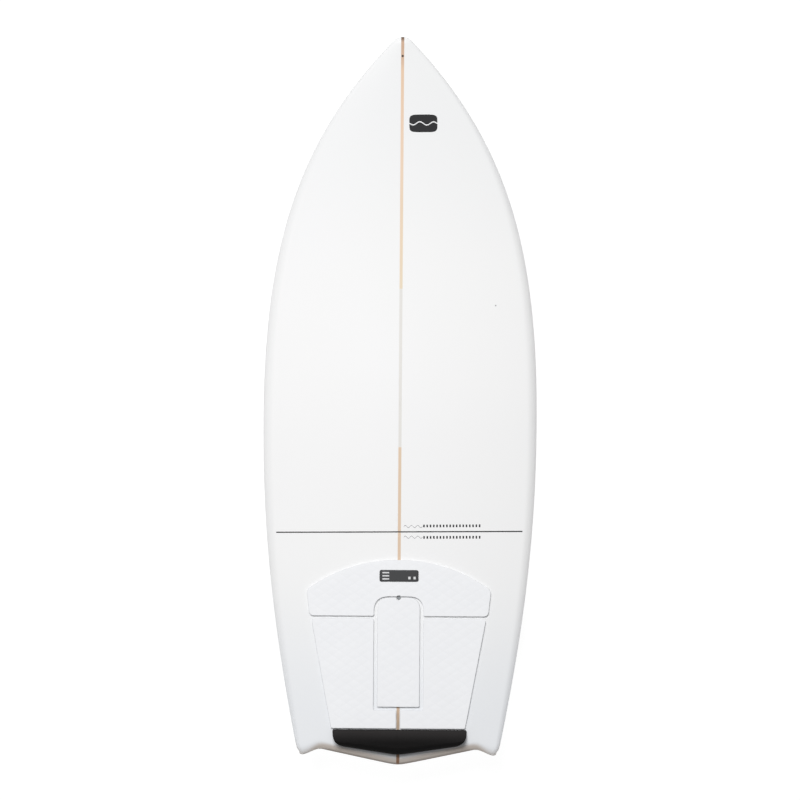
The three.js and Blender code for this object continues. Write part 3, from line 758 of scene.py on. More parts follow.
# ---- Fin boxes ---------------------------------------------------------------------------------------
# Three moulded plastic boxes, set into the foam and glassed in flush with the bottom. Each has two square
# pockets for a fin's tabs and, beside each pocket, the slanted bore of a grub screw.

BOX_LENGTH = 0.128
BOX_WIDTH = 0.027
BOX_DEPTH = 0.02
TAB_LENGTH = 0.018
TAB_WIDTH = 0.006
TAB_HEIGHT = 0.014
TAB_FROM_CENTRE = 0.033
TAB_MOUTH = -0.02
SCREW_RADIUS = 0.00225
SCREW_LENGTH = 0.0065
SCREW_TIP = (0.0047, 0.007)
SCREW_LEAN = math.radians(35)
BORE_CLEAR = 0.0004
BORE_REACH = (-0.0006, 0.0174)
# Each fin's name, station, y, toe and cant in degrees, and the side of its grub screws.
FIN_PLACES = [
    ("left", 1.122, 0.19, -2.5, 5, -1),
    ("right", 1.122, -0.19, 2.5, -5, 1),
    ("center", 1.262, 0.0, 0, 0, 1),
]


def fin_matrix(station, y, toe, cant):
    """Places a fin's own frame at its box's mouth on the bottom."""
    slope = float(rocker(station + 0.001) - rocker(station - 0.001)) / 0.002
    turn = Euler((math.radians(cant), math.atan(slope), math.radians(toe)), "XYZ").to_matrix().to_4x4()
    height = float(bottom_height(station, y))
    return Matrix.Translation((MIDDLE - station, y, height)) @ turn


def screw_matrix(x, side):
    """Places a grub screw, which points out of the box and leans away from its tab."""
    turn = Matrix.Rotation(math.pi + side * SCREW_LEAN, 4, "X")
    return Matrix.Translation((x, side * SCREW_TIP[0], SCREW_TIP[1])) @ turn


def rounded_box(name, length, width, low, high, radius, matrix):
    """An upright block with rounded corners in plan, about the middle of its length."""
    angles = np.linspace(0, 2 * math.pi, 48, endpoint=False) + 0.001
    x = np.sign(np.cos(angles)) * (length / 2 - radius) + radius * np.cos(angles)
    y = np.sign(np.sin(angles)) * (width / 2 - radius) + radius * np.sin(angles)
    ring = np.stack([x, y, 0 * x], -1)
    count = len(ring)
    faces = [list(range(count))[::-1], list(range(count, 2 * count))]
    faces += [[k, (k + 1) % count, count + (k + 1) % count, count + k] for k in range(count)]
    block = new_piece(name, np.concatenate([ring + (0, 0, low), ring + (0, 0, high)]), faces)
    block.data.transform(matrix)
    return block


def box_block(name, matrix, grow):
    size = (BOX_LENGTH + 2 * grow, BOX_WIDTH + 2 * grow)
    return rounded_box(name, *size, -0.01, BOX_DEPTH + grow, size[1] / 2 - 1e-5, matrix)


def plastic_paint(first, second):
    """Moulded plastic: a fine spark-eroded grain in two near tones."""

    def paint(wire):
        place = object_place(wire)
        grain = noise(place, 1600.0, 2.0)
        colour = noise(place, 60.0).mix(tint(first), tint(second))
        return {"Base Color": colour, "Normal": bump(grain, 0.25, 0.00005)}

    return paint


box_plastic = material("box_plastic", {"Roughness": 0.45}, plastic_paint("e6e7e8", "eeeeef"))
hull_block = new_piece("hull_block", *between(DECK_SHEET, BOTTOM_SHEET))
for fin_name, station, y, toe, cant, side in FIN_PLACES:
    matrix = fin_matrix(station, y, toe, cant)
    fin_box = box_block(f"fin_box_{fin_name}_shell", matrix, 0)
    hull_copy = hull_block.copy()
    scene.collection.objects.link(hull_copy)
    carve(fin_box, "INTERSECT", hull_copy)
    cutters = []
    for x in (TAB_FROM_CENTRE, -TAB_FROM_CENTRE):
        pocket_size = (TAB_LENGTH + 2 * GAP, TAB_WIDTH + 2 * GAP, TAB_MOUTH, TAB_HEIGHT + GAP, 0.001)
        cutters.append(rounded_box("pocket", *pocket_size, matrix @ Matrix.Translation((x, 0, 0))))
        bore = bar("bore", SCREW_RADIUS + BORE_CLEAR, *BORE_REACH, 32)
        bore.data.transform(matrix @ screw_matrix(x, side))
        cutters.append(bore)
    carve(fin_box, "DIFFERENCE", *cutters)
    tidy_mesh(fin_box.data, 32)
    fin_box.data.materials.clear()
    fin_box.data.materials.append(box_plastic)
    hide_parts(f"fin_box_{fin_name}")
    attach(fin_box, "board")

# ---- Bottom skin -------------------------------------------------------------------------------------
# The same glass and epoxy under the board, sanded flat. It is cut away round the three fin boxes.


def bottom_paint(wire):
    place = object_place(wire)
    x, y, _ = place.parts()
    weave = glass_cloth(x, y, 0.0018)
    white = (noise(place, 5.0) * 0.7 + weave * 0.15 + 0.1).mix(tint("f2f2f3"), tint("f5f5f4"))
    strip = 1 - abs(y).rise(0.85 * STRINGER_HALF, 1.1 * STRINGER_HALF)
    wood = wood_grain(place).mix(tint("dcbfa6"), tint("c39f7f"))
    colour = (strip * 0.85).mix(white, wood)
    satin = noise(place, 14.0) * 0.1 + 0.44
    return {"Base Color": colour, "Roughness": satin, "Normal": bump(weave, 0.12, 0.00003)}


bottom_look = material("bottom_laminate", resin, bottom_paint)
bottom_skin = new_piece("bottom_skin_shell", *between(BOTTOM_LINING, BOTTOM_SHEET), bottom_look)
openings = [box_block("opening", fin_matrix(*place[1:5]), GAP) for place in FIN_PLACES]
carve(bottom_skin, "DIFFERENCE", *openings)
tidy_mesh(bottom_skin.data, 32)
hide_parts("bottom_skin")
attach(bottom_skin, "board")

# ---- Fins --------------------------------------------------------------------------------------------
# Two side fins with a flat inner face and a centre fin with two round faces, moulded in black glass-filled
# nylon. Each slides out of its box by its two tabs. One geometry tree makes all three blades.

FIN_LIFT = 0.0006
FIN_ROWS = 34
FIN_ROUND = 60
FIN_TAPER = 0.78
TRAILING_EDGE = 0.00035
TAB_OVERLAP = 0.001
SIDE_FIN = {"Base": 0.108, "Depth": 0.106, "Rake": 0.034, "Thickness": 0.0068, "Flat side": 0.75}
CENTRE_FIN = {"Base": 0.1, "Depth": 0.094, "Rake": 0.026, "Thickness": 0.0064, "Flat side": 0.0}


def wire_bezier(t, points):
    """The two coordinates of a cubic curve at the wire t, through points that may hold wires."""
    back = 1 - t
    weights = [back**3.0, t * back**2.0 * 3.0, t**2.0 * back * 3.0, t**3.0]
    shares = [[weight * point[k] for weight, point in zip(weights, points)] for k in (0, 1)]
    return [sum(parts[1:], parts[0]) for parts in shares]


def foil(share):
    """Half the thickness of a foil along its chord, for a full thickness of 1."""
    bow = share**0.5 * 0.2969 - share * 0.126 - share**2.0 * 0.3516 + share**3.0 * 0.2843
    return (bow - share**4.0 * 0.1015) * 5.0


def fin_tree():
    """A raked foil blade hung under its base, with two tabs above it."""
    sizes = {label: "NodeSocketFloat" for label in [*SIDE_FIN, "Outward"]}
    put = geometry_tree("fin", {**sizes, "Tab": "NodeSocketVector", "Look": "NodeSocketMaterial"})
    base, depth, rake = put["Base"], put["Depth"], put["Rake"]
    grid_size = {"Size X": 1.0, "Size Y": 1.0, "Vertices X": FIN_ROWS, "Vertices Y": FIN_ROUND}
    grid = base.node("GeometryNodeMeshGrid", {}, grid_size)
    across, around, _ = base.node("GeometryNodeInputPosition").parts()
    row = (across + 0.5) * (FIN_ROWS - 1) - 1
    t = row.math("MAXIMUM", row / (FIN_ROWS - 2), 0.0)
    open_row = row.math("GREATER_THAN", row, -0.5)
    turned = abs(around) * 2.0
    share = (1 - turned) * ((FIN_ROUND - 1) / (FIN_ROUND - 2))
    share = share.math("MINIMUM", share, 1.0) ** 1.6
    face = around.math("SIGN", around * -1.0)
    half_base = base / 2.0
    tip = 0.0 - half_base - rake
    front_knees = [(half_base * 0.55, depth * -0.5), (tip * 0.2, depth * -0.97)]
    front = [(half_base, 0.0), *front_knees, (tip + 0.007, depth * -1.0)]
    rear_knees = [(half_base * -0.78, depth * -0.4), (half_base * -1.05, depth * -0.7)]
    rear = [(half_base * -1.0, 0.0), *rear_knees, (tip, depth * -0.985)]
    (front_x, front_z), (rear_x, rear_z) = wire_bezier(t, front), wire_bezier(t, rear)
    full = put["Thickness"] * (1 - t * FIN_TAPER) * (1 - t**24.0).math("SQRT", 1 - t**24.0) * open_row
    half_thick = full * foil(share) + share * open_row * TRAILING_EDGE
    blade_y = face * put["Outward"] * half_thick * (face * put["Flat side"] + 1.0)
    blade_x = front_x + (rear_x - front_x) * share
    blade_z = front_z + (rear_z - front_z) * share - FIN_LIFT
    place = base.node("ShaderNodeCombineXYZ", {}, {"X": blade_x, "Y": blade_y, "Z": blade_z})
    blade = grid.node("GeometryNodeSetPosition", {}, {"Geometry": grid, "Position": place})
    tab = base.node("GeometryNodeMeshCube", {}, {"Size": put["Tab"]})
    _, _, tab_height = put["Tab"].parts()
    tab_middle = tab_height / 2.0 - FIN_LIFT - TAB_OVERLAP
    shapes = [blade]
    for x in (TAB_FROM_CENTRE, -TAB_FROM_CENTRE):
        spot_at = base.node("ShaderNodeCombineXYZ", {}, {"X": x, "Z": tab_middle})
        shapes.append(tab.node("GeometryNodeTransform", {}, {"Geometry": tab, "Translation": spot_at}))
    joined = base.node("GeometryNodeJoinGeometry")
    for shape in reversed(shapes):
        base.tree.links.new(shape.socket, joined.socket.node.inputs[0])
    whole = joined.node("GeometryNodeMergeByDistance", {}, {"Geometry": joined, "Distance": MERGE_WITHIN})
    close_tree(whole, put["Look"])
    return base.tree


def fin_paint(wire):
    place = object_place(wire)
    flecks = noise(place, 420.0, 4.0, 0.7)
    colour = flecks.rise(0.5, 0.72).mix(tint("1c1e21"), tint("303338"))
    gloss = noise(place, 50.0) * 0.15 + 0.3
    return {"Base Color": colour, "Roughness": gloss, "Normal": bump(flecks, 0.15, 0.00006)}


fin_look = material("fin_nylon", {"Specular IOR Level": 0.5}, fin_paint)
fin_shape = fin_tree()
for fin_name, station, y, toe, cant, _ in FIN_PLACES:
    sizes = dict(CENTRE_FIN if fin_name == "center" else SIDE_FIN)
    sizes["Outward"] = -1.0 if y < 0 else 1.0
    sizes["Tab"] = (TAB_LENGTH, TAB_WIDTH, TAB_HEIGHT + FIN_LIFT + TAB_OVERLAP)
    sizes["Look"] = fin_look
    fin = grown(f"fin_{fin_name}_blade", fin_shape, sizes)
    fin.data.transform(fin_matrix(station, y, toe, cant))
    tidy_mesh(fin.data, 40)
    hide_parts(f"fin_{fin_name}")
    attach(fin, f"{fin_name}_fin")

# ---- Grub screws -------------------------------------------------------------------------------------
# Six stainless M4.5 set screws with a hexagon socket, two to a box. They bear on the sides of the tabs.

THREAD_PITCH = 0.0008
THREAD_TURNS = 7
KEY_RADIUS = 0.0013
KEY_DEPTH = 0.0025


def grub_screw_tree():
    """A set screw on every point of the starting mesh, turned by the point's own angles."""
    kinds = {"Geometry": "NodeSocketGeometry", "Radius": "NodeSocketFloat", "Length": "NodeSocketFloat"}
    kinds |= {"Turns": "NodeSocketInt", "Pitch": "NodeSocketFloat", "Steel": "NodeSocketMaterial"}
    put = geometry_tree("grub_screws", kinds)
    radius, length = put["Radius"], put["Length"]
    shank_size = {"Vertices": 36, "Radius": radius * 0.9, "Depth": length}
    shank = radius.node("GeometryNodeMeshCylinder", {}, shank_size)
    key_size = {"Vertices": 6, "Radius": KEY_RADIUS, "Depth": KEY_DEPTH * 2}
    key = radius.node("GeometryNodeMeshCylinder", {}, key_size)
    key_place = radius.node("ShaderNodeCombineXYZ", {}, {"Z": length / 2.0})
    key = key.node("GeometryNodeTransform", {}, {"Geometry": key, "Translation": key_place})
    boolean = radius.node("GeometryNodeMeshBoolean", {"operation": "DIFFERENCE"}, {"Mesh 1": shank})
    boolean.tree.links.new(key.socket, boolean.socket.node.inputs["Mesh 2"])
    circle = {"Resolution": 36, "Radius": radius * 0.92}
    loop = radius.node("GeometryNodeCurvePrimitiveCircle", {}, circle)
    crest = radius.node("GeometryNodeCurvePrimitiveCircle", {}, {"Resolution": 6, "Radius": radius * 0.08})
    ring = loop.node("GeometryNodeCurveToMesh", {}, {"Curve": loop, "Profile Curve": crest})
    step = radius.node("ShaderNodeCombineXYZ", {}, {"Z": put["Pitch"]})
    start = radius.node("ShaderNodeCombineXYZ", {}, {"Z": length * -0.37})
    line = {"Count": put["Turns"], "Start Location": start, "Offset": step}
    turns = radius.node("GeometryNodeMeshLine", {}, line)
    thread = turns.node("GeometryNodeInstanceOnPoints", {}, {"Points": turns, "Instance": ring})
    screw = radius.node("GeometryNodeJoinGeometry")
    for shape in (thread, boolean):
        screw.tree.links.new(shape.socket, screw.socket.node.inputs[0])
    turn = screw.node("GeometryNodeInputNamedAttribute", {"data_type": "FLOAT_VECTOR"}, {"Name": "turn"})
    placed = {"Points": put["Geometry"], "Instance": screw, "Rotation": turn}
    close_tree(screw.node("GeometryNodeInstanceOnPoints", {}, placed), put["Steel"])
    return screw.tree


def steel_paint(wire):
    place = object_place(wire)
    brushed = noise(place, 2500.0, 2.0)
    colour = noise(place, 300.0).mix(tint("a9abad"), tint("c6c7c8"))
    return {"Base Color": colour, "Roughness": brushed * 0.2 + 0.22}


screw_places = []
for _, station, y, toe, cant, side in FIN_PLACES:
    for x in (TAB_FROM_CENTRE, -TAB_FROM_CENTRE):
        lift = Matrix.Translation((0, 0, SCREW_LENGTH / 2))
        screw_places.append(fin_matrix(station, y, toe, cant) @ screw_matrix(x, side) @ lift)
screw_points = bpy.data.meshes.new("screw_points")
screw_points.from_pydata([tuple(m.translation) for m in screw_places], [], [])
turns = screw_points.attributes.new("turn", "FLOAT_VECTOR", "POINT")
turns.data.foreach_set("vector", [angle for m in screw_places for angle in m.to_euler()])
steel = material("screw_steel", {"Metallic": 1.0}, steel_paint)
screw_sizes = {"Radius": SCREW_RADIUS, "Length": SCREW_LENGTH, "Turns": THREAD_TURNS}
screw_sizes |= {"Pitch": THREAD_PITCH, "Steel": steel}
grub_screws = grown("grub_screws", grub_screw_tree(), screw_sizes, screw_points)
grub_screws.data.shade_smooth()
grub_screws.data.set_sharp_from_angle(angle=math.radians(32))
for fin_name, *_ in FIN_PLACES:
    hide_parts(f"grub_screw_{fin_name}_front", f"grub_screw_{fin_name}_rear")
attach(grub_screws, "board")

# ---- Vent --------------------------------------------------------------------------------------------
# A turned plastic plug let into the deck over the stringer. Its slotted screw turns out to let the board
# breathe, and a rubber ring under the screw's head keeps the water out.

PLUG_DEPTH = 0.012
PLUG_BORE = 0.0023
PLUG_SEAT = 0.0036
PLUG_SEAT_DEPTH = 0.0033
EDGE = 0.0004
HEAD_RADIUS = 0.0032
HEAD_HEIGHT = 0.0018
STEM_RADIUS = 0.0018
STEM_LENGTH = 0.009
SLOT_WIDTH = 0.001
SLOT_DEPTH = 0.0008
RING_MIDDLE = 0.0028
RING_HALF = 0.00045
RING_Z = -0.00255


def turned(name, profile, look, steps=64):
    """A turned piece from a closed profile of [radius, height] pairs about the vent's axis."""
    profile = np.asarray(profile, float)
    count = len(profile)
    angles = np.linspace(0, 2 * math.pi, steps, endpoint=False)
    direction = np.stack([np.cos(angles), np.sin(angles)], -1)
    across = profile[None, :, 0, None] * direction[:, None, :]
    height = np.broadcast_to(profile[None, :, 1, None], across.shape[:2] + (1,))
    points = np.concatenate([across, height], -1).reshape(-1, 3) + (VENT_X, 0, VENT_Z)
    faces = []
    for k in range(steps):
        here, ahead = k * count, (k + 1) % steps * count
        for j in range(count):
            after = (j + 1) % count
            faces.append([here + j, here + after, ahead + after, ahead + j])
    return new_piece(name, points, faces, look, 32)


plug_profile = [
    (PLUG_BORE, -PLUG_DEPTH),
    (VENT_RADIUS - EDGE, -PLUG_DEPTH),
    (VENT_RADIUS, -PLUG_DEPTH + EDGE),
    (VENT_RADIUS, -EDGE),
    (VENT_RADIUS - EDGE, 0),
    (PLUG_SEAT + EDGE, 0),
    (PLUG_SEAT, -EDGE),
    (PLUG_SEAT, -PLUG_SEAT_DEPTH),
    (PLUG_BORE, -PLUG_SEAT_DEPTH),
]
vent_look = material("vent_plastic", {"Roughness": 0.4}, plastic_paint("e9eaeb", "f0f0f0"))
vent_plug = turned("vent_plug_body", plug_profile, vent_look)
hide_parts("vent_plug")
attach(vent_plug, "board")


def thread_profile(radius, top, bottom, pitch):
    """Down a screw's stem, with a groove in each pitch."""
    count = int((top - bottom) / pitch)
    profile = []
    for k in range(count):
        profile += [(radius, top - k * pitch), (0.86 * radius, top - (k + 0.5) * pitch)]
    return profile


screw_profile = [(0, 0), (HEAD_RADIUS - EDGE, 0), (HEAD_RADIUS, -EDGE), (HEAD_RADIUS, EDGE - HEAD_HEIGHT)]
screw_profile += [(HEAD_RADIUS - EDGE, -HEAD_HEIGHT)]
screw_profile += thread_profile(STEM_RADIUS, -HEAD_HEIGHT, -STEM_LENGTH, 0.0007)
screw_profile += [(0.8 * STEM_RADIUS, -STEM_LENGTH), (0, -STEM_LENGTH)]
vent_steel = material("vent_screw_steel", {"Metallic": 0.9}, lambda wire: {
    "Base Color": noise(object_place(wire), 500.0).mix(tint("6c6f72"), tint("8a8d90")),
    "Roughness": noise(object_place(wire), 2500.0) * 0.25 + 0.28,
})
vent_screw = turned("vent_screw_turned", screw_profile, vent_steel)
slot_place = Matrix.Translation((VENT_X, 0, VENT_Z))
slot_block = rounded_box("slot", 0.02, SLOT_WIDTH, -SLOT_DEPTH, SLOT_DEPTH, 0.0001, slot_place)
carve(vent_screw, "DIFFERENCE", slot_block)
tidy_mesh(vent_screw.data, 32)
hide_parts("vent_screw")
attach(vent_screw, "vent_screw")

ring_turn = np.linspace(0, 2 * math.pi, 16, endpoint=False)
ring_round = RING_HALF * np.stack([np.cos(ring_turn), np.sin(ring_turn)], -1)
ring_profile = ring_round + (RING_MIDDLE, RING_Z)
rubber = material("ring_rubber", {"Roughness": 0.7}, plastic_paint("171717", "1f1f1f"))
vent_ring = turned("vent_ring", ring_profile, rubber)
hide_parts("vent_o_ring")
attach(vent_ring, "board")

# ---- Traction pad ------------------------------------------------------------------------------------
# Four flat pieces of 5 mm closed-cell foam on a pressure-sensitive film: a front pad with an arched edge,
# a strip that reaches into its slot, and two rear pads. Faint diamond grooves are moulded in for grip.

PAD = 0.005
PAD_EDGE = 0.0007
GROOVE_PITCH = 0.0155
GROOVE_HALF = 0.0008
GROOVE_DEPTH = 0.00009
GROOVE_ANGLE = math.radians(33)
GROOVE_MARGIN = 0.0035
GROOVE_STEP = 0.005
GROOVE_GREYING = 0.12
SLIVER = 1e-6
ARCH_STATION = 1.006
ARCH_RADIUS = 0.3
ARCH_HALF_ANGLE = math.radians(35.4)
FRONT_PAD_BACK = 1.1142
SLOT_STATION = 1.0765
STRIP_FRONT = 1.078
CHANNEL_Y = 0.048
NOTCH_RADIUS = 0.005


def rounded_outline(corners, step=0.003):
    """A closed outline through corners given as [station, y, rounding], with points a step apart."""
    spots = np.array([(MIDDLE - s, y) for s, y, _ in corners])
    points = []
    for k, (_, _, rounding) in enumerate(corners):
        here, before, after = spots[k], spots[k - 1], spots[(k + 1) % len(spots)]
        start = here + (before - here) / np.linalg.norm(before - here) * rounding
        end = here + (after - here) / np.linalg.norm(after - here) * rounding
        t = np.linspace(0, 1, 9 if rounding > 0 else 1)[:, None]
        points += list((1 - t) ** 2 * start + 2 * t * (1 - t) * here + t**2 * end)
    outline = [points[0]]
    for point in points[1:] + points[:1]:
        gap = np.linalg.norm(point - outline[-1])
        if gap > 1e-5:
            pieces = max(1, math.ceil(gap / step))
            outline += [outline[-1] + (point - outline[-1]) * k / pieces for k in range(1, pieces + 1)]
    outline = np.array(outline[:-1])
    area = np.sum(outline[:, 0] * np.roll(outline[:, 1], -1) - outline[:, 1] * np.roll(outline[:, 0], -1))
    return outline if area > 0 else outline[::-1]


def distance_inside(points, outline):
    """How far each point lies inside an outline, negative outside it."""
    ends = np.roll(outline, -1, 0)
    side = ends - outline
    to_point = points[:, None] - outline[None]
    share = np.clip((to_point * side).sum(-1) / (side**2).sum(-1), 0, 1)
    distance = np.linalg.norm(to_point - share[..., None] * side, axis=-1).min(1)
    above = outline[None, :, 1] > points[:, None, 1]
    crosses = above != (ends[None, :, 1] > points[:, None, 1])
    with np.errstate(divide="ignore", invalid="ignore"):
        at = outline[:, 0] + (points[:, None, 1] - outline[:, 1]) * side[:, 0] / side[:, 1]
    inside = (crosses & (points[:, None, 0] < at)).sum(1) % 2 == 1
    return np.where(inside, distance, -distance)


def shrunk(outline, inset):
    """An outline moved inwards along its normals."""
    along = np.roll(outline, -1, 0) - np.roll(outline, 1, 0)
    along /= np.linalg.norm(along, axis=1)[:, None]
    return outline + inset * np.stack([-along[:, 1], along[:, 0]], -1)


def groove_lines(outline):
    """The groove edges and floors inside an outline, in two slanting families, as rows of points."""
    sides = np.roll(outline, -1, 0) - outline
    centre = outline.mean(0)
    count = math.ceil(0.5 / GROOVE_PITCH)
    lines = []
    for angle in (GROOVE_ANGLE, -GROOVE_ANGLE):
        along = np.array([math.sin(angle), math.cos(angle)])
        normal = np.array([along[1], -along[0]])
        start = centre @ normal - centre @ normal % GROOVE_PITCH
        for k, shift in product(range(-count, count + 1), (-GROOVE_HALF, 0, GROOVE_HALF)):
            away = outline @ normal - (start + k * GROOVE_PITCH + shift)
            ahead = np.roll(away, -1)
            hit = away * ahead < 0
            share = away[hit] / (away[hit] - ahead[hit])
            crossed = np.sort((outline[hit] + share[:, None] * sides[hit]) @ along).reshape(-1, 2)
            for low, high in crossed + (GROOVE_MARGIN, -GROOVE_MARGIN):
                if high - low > GROOVE_PITCH / 3:
                    t = np.linspace(low, high, max(2, round((high - low) / GROOVE_STEP)))
                    lines.append((start + k * GROOVE_PITCH + shift) * normal + t[:, None] * along)
    return lines


def groove_depth(points, outline, depth):
    """Depth of the grooves at each point. They run out before the outline."""
    centre = outline.mean(0)
    found = np.zeros(len(points))
    for angle in (GROOVE_ANGLE, -GROOVE_ANGLE):
        normal = np.array([math.cos(angle), -math.sin(angle)])
        across = points @ normal - (centre @ normal - centre @ normal % GROOVE_PITCH)
        away = np.abs((across + GROOVE_PITCH / 2) % GROOVE_PITCH - GROOVE_PITCH / 2)
        found = np.maximum(found, np.clip(1 - away / GROOVE_HALF, 0, 1))
    inside = distance_inside(points, outline)
    return depth * found * np.clip((inside - GROOVE_MARGIN) / GROOVE_MARGIN, 0, 1)


def moulded_pad(name, outline, top, bottom, depth, look, step, edge=PAD_EDGE):
    """A grooved pad between two heights given by functions of station and y, with a rounded upper edge."""
    loops = [shrunk(outline, inset) for inset in edge * (1 - np.cos(np.linspace(0, math.pi / 2, 5)))]
    points = [tuple(p) for loop in loops for p in loop]
    count = len(outline)
    edges = [(n * count + k, n * count + (k + 1) % count) for n in range(len(loops)) for k in range(count)]
    for line in groove_lines(outline) if depth else []:
        edges += [(len(points) + k, len(points) + k + 1) for k in range(len(line) - 1)]
        points += [tuple(p) for p in line]
    low, high = outline.min(0), outline.max(0)
    grid = np.stack(np.meshgrid(np.arange(low[0], high[0], step), np.arange(low[1], high[1], step)), -1)
    grid = grid.reshape(-1, 2)
    grid = grid[distance_inside(grid, outline) > edge + step / 3]
    grid = grid[groove_depth(grid, outline, 1) == 0]
    points += [tuple(p) for p in grid]
    found = delaunay_2d_cdt([Vector(p) for p in points], edges, [], 0, 1e-7)
    flat = np.array([tuple(p) for p in found[0]])
    triangles = np.array(found[2])
    corner = flat[triangles]
    turn = np.cross(corner[:, 1] - corner[:, 0], corner[:, 2] - corner[:, 0])
    triangles[turn < 0] = triangles[turn < 0][:, ::-1]
    kept = distance_inside(corner.mean(1), outline) > SLIVER
    triangles = triangles[kept & (np.abs(turn) > 1e-13)]
    inside = np.clip(distance_inside(flat, outline), 0, edge)
    roll = edge - np.sqrt(np.maximum(0, edge**2 - (edge - inside) ** 2))
    station = MIDDLE - flat[:, 0]
    groove = groove_depth(flat, outline, depth)
    upper = np.column_stack([flat, top(station, flat[:, 1]) - roll - groove])
    lower = np.column_stack([flat, bottom(station, flat[:, 1])])
    directed = {(a, b) for t in triangles.tolist() for a, b in zip(t, t[1:] + t[:1])}
    rim = [(a, b) for a, b in directed if (b, a) not in directed]
    shift = len(flat)
    faces = triangles.tolist() + (triangles[:, ::-1] + shift).tolist()
    faces += [[a, a + shift, b + shift, b] for a, b in sorted(rim)]
    piece = new_piece(name, np.concatenate([upper, lower]), faces, look, 28)
    place = np.array([v.co for v in piece.data.vertices])
    rim_share = 1 - np.clip(distance_inside(place[:, :2], outline) / edge, 0, 1)
    shares = {"groove": groove_depth(place[:, :2], outline, 1), "rim": rim_share}
    for label, share in shares.items():
        piece.data.attributes.new(label, "FLOAT", "POINT").data.foreach_set("value", share)
    return piece


def eva_paint(light, dark, groove_tone, rim_tone, roughness):
    """Closed-cell foam: a fine skin of pores, a little greyer in the grooves, and darker on the cut sides
    and rounded edges, partly for the open cells and partly as painted shade.
    """

    def paint(wire):
        place = object_place(wire)
        pores = place.node("ShaderNodeTexVoronoi", {}, {"Vector": place, "Scale": 1500.0}, out="Distance")
        skin = noise(place, 700.0, 4.0, 0.65)
        cloud = noise(place, 22.0, 4.0)
        groove = wire.node("ShaderNodeAttribute", {"attribute_name": "groove"}, out="Fac")
        colour = (cloud * 0.7 + skin * 0.3).mix(tint(dark), tint(light))
        colour = (groove * GROOVE_GREYING).mix(colour, tint(groove_tone))
        rim = wire.node("ShaderNodeAttribute", {"attribute_name": "rim"}, out="Fac")
        # Darker rim: partly the open cells of the cut sides, partly painted shade along the pad edges.
        colour = rim.mix(colour, tint(rim_tone))
        relief = bump(skin * 0.6 + pores * 0.4, 0.35, 0.0002)
        return {"Base Color": colour, "Roughness": skin * 0.1 + roughness, "Normal": relief}

    return paint


def pad_top(station, y):
    return deck_height(station, y) + GAP + PAD


def pad_underside(station, y):
    return deck_height(station, y) + GAP


def vent_notch(edge_station, full_turn):
    """A round bite about the vent in a pad's edge, from left to right, ahead of the vent or behind it."""
    start = math.acos((edge_station - VENT_STATION) / NOTCH_RADIUS)
    angles = np.linspace(start, full_turn - start, 17)
    return [(VENT_STATION + NOTCH_RADIUS * math.cos(a), NOTCH_RADIUS * math.sin(a), 0) for a in angles]


def front_pad_corners():
    angles = np.linspace(-1, 1, 41) * ARCH_HALF_ANGLE
    centre = ARCH_STATION + ARCH_RADIUS
    arc = [(centre - ARCH_RADIUS * math.cos(a), ARCH_RADIUS * math.sin(a), 0) for a in angles]
    half = [(1.068, 0.177, 0.004), (FRONT_PAD_BACK, 0.172, 0.009), (FRONT_PAD_BACK, CHANNEL_Y, 0.003)]
    half.append((SLOT_STATION, CHANNEL_Y, 0.029))
    notch = vent_notch(SLOT_STATION, 2 * math.pi)
    return arc + half + notch + [(s, -y, r) for s, y, r in reversed(half)]


def rear_pad_corners(side):
    corners = [(1.3306, 0.129, 0.003), (1.1188, 0.1685, 0.009), (1.1188, CHANNEL_Y, 0.004)]
    corners += [(1.296, CHANNEL_Y, 0.005), (1.296, 0.004, 0.002), (1.3306, 0.004, 0.002)]
    return [(s, side * y, r) for s, y, r in corners]


def strip_corners():
    half = [(1.289, 0.0406, 0.003), (STRIP_FRONT, 0.0406, 0.024)]
    return half + vent_notch(STRIP_FRONT, 0) + [(s, -y, r) for s, y, r in reversed(half)]


PAD_CORNERS = {
    "pad_front": front_pad_corners(),
    "pad_center_strip": strip_corners(),
    "pad_rear_left": rear_pad_corners(1),
    "pad_rear_right": rear_pad_corners(-1),
}


pad_paint = eva_paint("f7f8fa", "f1f2f5", "e2e3e6", "d6d7da", 0.82)
white_foam = material("pad_foam", {"Sheen Weight": 0.1}, pad_paint)
for node, corners in PAD_CORNERS.items():
    outline = rounded_outline(corners)
    pad = moulded_pad(f"{node}_foam", outline, pad_top, pad_underside, GROOVE_DEPTH, white_foam, 0.012)
    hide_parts(node)
    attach(pad, "board")

# ---- Kicker ------------------------------------------------------------------------------------------
# A block of black foam behind the pads, cut to the tail's vee. It ramps up to a crest that the back foot
# pushes against, then falls to its rear edge.

KICKER_FRONT = 1.3326
KICKER_BACK = 1.3813
KICKER_SLOPE = 0.146
KICKER_LEFT = 0.126
KICKER_RIGHT = -0.132
KICKER_LOW = 0.005
KICKER_HIGH = 0.026
KICKER_CREST = 0.72
KICKER_EDGE = 0.0018
KICKER_SHADE_REACH = 0.028
CREASE_HALF = 0.003
CREASE_DEPTH = 0.0009


def kicker_back(y):
    return KICKER_BACK - KICKER_SLOPE * np.abs(y)


def kicker_top(station, y):
    back = kicker_back(y)
    share = np.clip((station - KICKER_FRONT) / (back - KICKER_FRONT), 0, 1)
    past = np.clip((share - KICKER_CREST) / (1 - KICKER_CREST), 0, 1)
    ramp = (np.minimum(share, KICKER_CREST) / KICKER_CREST) ** 1.6
    lift = KICKER_LOW + (KICKER_HIGH - KICKER_LOW) * np.where(past > 0, np.sqrt(1 - 0.8 * past**2), ramp)
    crease = CREASE_DEPTH * np.clip(1 - np.abs(y) / CREASE_HALF, 0, 1)
    return deck_height(np.minimum(station, back), y) + GAP + lift - crease


